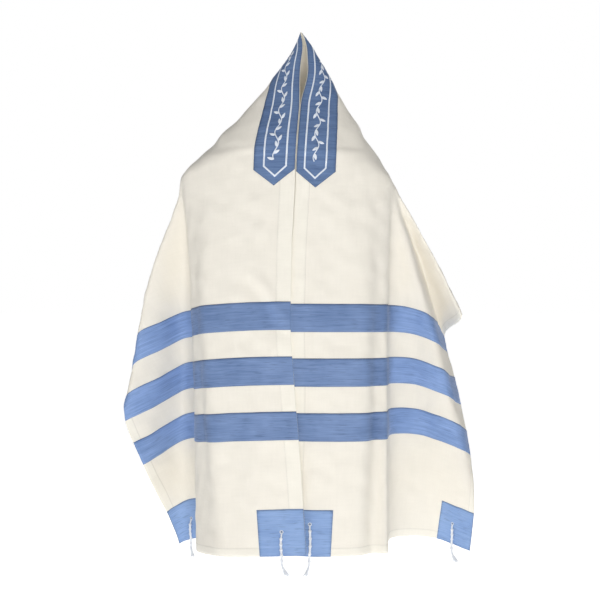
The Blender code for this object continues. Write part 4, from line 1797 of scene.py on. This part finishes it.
    def loose_strands(self, line: Array) -> list[Surface]:
        """The cords below the last knot, each twisted from two plies.

        A strand starts on a small circle and spreads with the square of the share of the way
        down. It swings aside with the power of one and a half, and has its own slow wave, drawn
        from a seeded generator. Its radius swells twice round, and the swelling turns as it goes.
        """
        rng = np.random.default_rng(int(1000 * abs(self.across)) + (self.side is Side.LEFT))
        share = np.linspace(0.0, 1.0, 40)
        turn = np.linspace(0, 2 * math.pi, 8, endpoint=False)
        found = []
        for number in range(self.strands):
            angle = 2 * math.pi * (number + 0.5) / self.strands
            length = self.strand_length * rng.uniform(0.86, 1.0)
            away = np.array([math.cos(angle), math.sin(angle), 0.0]) * self.radius * 0.55
            wave = rng.uniform(-0.0011, 0.0011, 2)[None]
            wave = wave * np.sin(share[:, None] * rng.uniform(4, 7))
            middle = line[-1] + away * (1 + self.spread * share[:, None] ** 2)
            middle = middle + np.array([0.0, 0.0, 0.0012])
            middle[:, :2] += wave
            middle[:, 0] += self.swing * share**1.5
            middle[:, 2] -= length * share
            twist = 2 * turn - 2 * math.pi * (length * share[:, None]) / self.strand_twist
            swell = 1 + 0.24 * np.cos(twist)
            blunt = np.clip((1 - share) / 0.03, 0.3, 1.0)[:, None] ** 0.5
            found.append(Surface.tube(middle, self.strand_radius * swell * blunt, self.flat))
        return found

    def eyelet(self) -> Surface:
        """The stitched ring round the hole: a ring of thread with a ridge for each stitch."""
        round_ring = np.linspace(0, 2 * math.pi, 96, endpoint=False)[:, None]
        round_thread = np.linspace(0, 2 * math.pi, 10, endpoint=False)[None, :]
        thread = self.eyelet_thread * (1 + 0.18 * np.cos(22 * round_ring))
        reach = self.eyelet_radius + thread * np.cos(round_thread)
        along = self.flat[0] + reach * np.cos(round_ring)
        across = self.flat[1] + reach * np.sin(round_ring)
        lift = self.ground + 0.0001 + 0.8 * thread * np.sin(round_thread)
        points = self.grid.at(along, across, lift)
        surface = Surface.from_grid(points, np.stack((along, across), -1), True, True)
        surface.faces = surface.faces[:, ::-1]
        return surface

    def hole(self) -> Surface:
        """A painted shadow in the eyelet's hole: a dark shallow dish just over the square."""
        share = np.linspace(0.02, 1.0, 6)[:, None]
        turn = np.linspace(0, 2 * math.pi, 32, endpoint=False)[None, :]
        along = self.flat[0] + self.eyelet_radius * share * np.cos(turn)
        across = self.flat[1] + self.eyelet_radius * share * np.sin(turn)
        lift = self.ground + 0.00010 + 0.0001 * share**2 + 0 * turn
        points = self.grid.at(along, across, lift)
        flat = np.stack((along, across), -1)
        dish = Surface.from_grid(points, flat, close_columns=True)
        fan = np.stack((np.zeros(30, int), np.arange(1, 31), np.arange(2, 32)), -1)
        dish.faces = np.concatenate((dish.faces, fan))
        return dish

    def build(
        self, cord: bpy.types.Material, dark: bpy.types.Material
    ) -> list[bpy.types.Object]:
        """Make the tassel, its eyelet and the painted shadow in the eyelet's hole.

        Args:
            cord: the white cord's finish.
            dark: the finish of the painted shadow inside the eyelet.

        Returns:
            The three pieces.
        """
        line = self.shank_line()
        parts = [self.shank(line)] + self.loop(line) + self.loose_strands(line)
        tassel = Surface.join(parts).to_object(f"cord_tassel_{self.key}", cord)
        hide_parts(f"tassel_{self.key}")
        ring = self.eyelet().to_object(f"eyelet_ring_{self.key}", cord)
        # painted shadow: a dark dish stands in the eyelet's hole, where there is only shade
        inside = self.hole().to_object(f"eyelet_inside_{self.key}", dark)
        return [tassel, ring, inside]


# ---------------------------------------------------------------- the studio


@dataclass(frozen=True)
class SoftBox:
    """A large square lamp that looks at the shawl.

    Attributes:
        name: the lamp's name.
        spot: where it stands.
        size: length of its side.
        power: watts.
        tint: its colour.
        aim: where it looks.
    """

    name: str
    spot: tuple[float, float, float]
    size: float
    power: float
    tint: Colour = (1.0, 1.0, 1.0)
    aim: tuple[float, float, float] = (0.0, 0.0, -0.50)

    def build(self) -> None:
        """Hang the lamp and turn it to its aim."""
        lamp = bpy.data.lights.new(self.name, "AREA")
        lamp.shape, lamp.size, lamp.energy, lamp.color = "SQUARE", self.size, self.power, self.tint
        holder = bpy.data.objects.new(self.name, lamp)
        holder.location = self.spot
        way = np.array(self.aim) - np.array(self.spot)
        flat = math.hypot(way[0], way[1])
        holder.rotation_euler = (math.atan2(flat, -way[2]), 0.0, math.atan2(-way[0], way[1]))
        bpy.context.scene.collection.objects.link(holder)


@dataclass(frozen=True)
class Studio:
    """The pale floor, the soft light and the camera.

    Attributes:
        floor_height: how high the floor is.
        floor_reach: how far it runs each way.
        camera_spot: where the camera stands.
        lens: its focal length, in millimetres.
        sensor: width of its sensor, in millimetres.
        ambient: how strongly the white sky lights the shawl.
        lamps: the four lamps.
    """

    floor_height: float = -1.30
    floor_reach: float = 60.0
    camera_spot: tuple[float, float, float] = (-0.0019, -2.125, -0.513)
    lens: float = 66.6
    sensor: float = 36.0
    ambient: float = 0.12
    lamps: tuple[SoftBox, ...] = (
        SoftBox("key_light", (0.10, -1.80, -1.00), 0.5, 11.5, (1.0, 0.99, 0.97)),
        SoftBox("top_light", (0.0, -0.6, 1.2), 1.2, 6.8),
        SoftBox("fill_light", (-2.2, -1.6, 0.2), 1.6, 2.0, (0.96, 0.98, 1.0)),
        SoftBox("back_light", (0.6, 2.6, 0.6), 2.0, 30.0),
    )

    def floor(self, finish: Plain) -> bpy.types.Object:
        """A wide flat floor of one grid."""
        steps = np.linspace(-self.floor_reach, self.floor_reach, 9)
        x, y = np.meshgrid(steps, steps, indexing="ij")
        points = np.stack((x, y, np.full_like(x, self.floor_height)), -1)
        surface = Surface.from_grid(points, np.stack((x, y), -1))
        mesh = bpy.data.meshes.new("floor")
        mesh.from_pydata(surface.points.tolist(), [], surface.faces.tolist())
        mesh.materials.append(finish.make())
        item = bpy.data.objects.new("floor", mesh)
        bpy.context.scene.collection.objects.link(item)
        return item

    def light(self) -> None:
        """The lamps, and a white sky that lights less strongly than it looks."""
        world = bpy.data.worlds.new("studio_white")
        bpy.context.scene.world = world
        world.use_nodes = True
        tree = world.node_tree
        tree.nodes["Background"].inputs["Color"].default_value = (1.0, 1.0, 1.0, 1.0)
        seen = tree.nodes.new("ShaderNodeLightPath").outputs["Is Camera Ray"]
        spread = tree.nodes.new("ShaderNodeMapRange")
        spread.inputs["To Min"].default_value = self.ambient
        spread.inputs["To Max"].default_value = 1.0
        tree.links.new(seen, spread.inputs["Value"])
        tree.links.new(spread.outputs["Result"], tree.nodes["Background"].inputs["Strength"])
        for lamp in self.lamps:
            lamp.build()

    def camera(self) -> None:
        """The camera, level, at the photograph's distance and height."""
        lens = bpy.data.cameras.new("photo_camera")
        lens.lens, lens.sensor_width, lens.dof.use_dof = self.lens, self.sensor, False
        holder = bpy.data.objects.new("photo_camera", lens)
        holder.location = self.camera_spot
        holder.rotation_euler = (math.pi / 2, 0.0, 0.0)
        bpy.context.scene.collection.objects.link(holder)
        bpy.context.scene.camera = holder

    def build(self, finish: Plain) -> None:
        """Set up the camera, the lights and the floor."""
        self.camera()
        self.light()
        self.floor(finish)
        bpy.context.scene.view_settings.view_transform = "Standard"


# ---------------------------------------------------------------- the whole


# The stripes carry a painted sheen on the wing, 0.36 lighter than on the front panels.
STRIPE_SILK = SlubSilk(
    "stripe_silk", dark=(0.104, 0.174, 0.345), light=(0.230, 0.336, 0.582), painted_wing_sheen=0.36
)
CORNER_SILK = SlubSilk("corner_silk", dark=(0.170, 0.282, 0.545), light=(0.325, 0.470, 0.755))
NECKBAND_SILK = SlubSilk("neckband_silk", dark=(0.072, 0.126, 0.262), light=(0.176, 0.272, 0.478))
SATIN_THREAD = Thread(
    "satin_thread", colour=(0.86, 0.90, 0.96), shade=(0.62, 0.70, 0.84),
    grain=1400, roughness=0.35, sheen=0.3,
)
WOOL_CORD = Thread("wool_cord", colour=(0.88, 0.90, 0.93), shade=(0.60, 0.65, 0.72))
# A painted shadow: the dark colour of the dish in each eyelet's hole.
EYELET_SHADOW = Thread(
    "eyelet_shadow", colour=(0.14, 0.20, 0.34), shade=(0.08, 0.13, 0.24),
    grain=900, roughness=0.9, sheen=0.0,
)
PALE_FLOOR = Plain("pale_floor", colour=(0.80, 0.80, 0.80), glow=0.92)

# Half, corner, the eyelet's distances along and across, and the swing of the strands.
TASSELS: tuple[tuple[Side, End, float, float, float], ...] = (
    (Side.LEFT, End.FRONT, 0.956, 0.0425, 0.010),
    (Side.LEFT, End.OUTER, 0.956, 0.4480, 0.004),
    (Side.RIGHT, End.FRONT, 0.941, 0.0450, -0.008),
    (Side.RIGHT, End.OUTER, 0.956, 0.4480, 0.009),
)


def main() -> None:
    """Set up the studio, then build every piece of the shawl in order."""
    logging.basicConfig(level=logging.INFO, format="%(name)s: %(message)s")
    cut = Cut()
    Studio().build(PALE_FLOOR)
    grid = ClothGrid(cut, Drape(), Relief())

    silk = STRIPE_SILK.make()
    corner_silk = CORNER_SILK.make()
    band_silk = NECKBAND_SILK.make()
    satin = SATIN_THREAD.make()
    cord = WOOL_CORD.make()
    dark = EYELET_SHADOW.make()

    cloth = ShawlCloth(grid, Wool(cut)).build()
    pieces = []
    for side in Side:
        for number in range(1, cut.stripe_count + 1):
            pieces.append(Stripe(grid, side=side, number=number).build(silk))
        for end in End:
            pieces.append(CornerSquare(grid, side=side, end=end).build(corner_silk))
    pieces += Neckband(grid).build(band_silk, satin)
    for side, end, along, across, swing in TASSELS:
        pieces += Tassel(grid, side, end, along, across, swing).build(cord, dark)


if __name__ == "__main__":
    main()
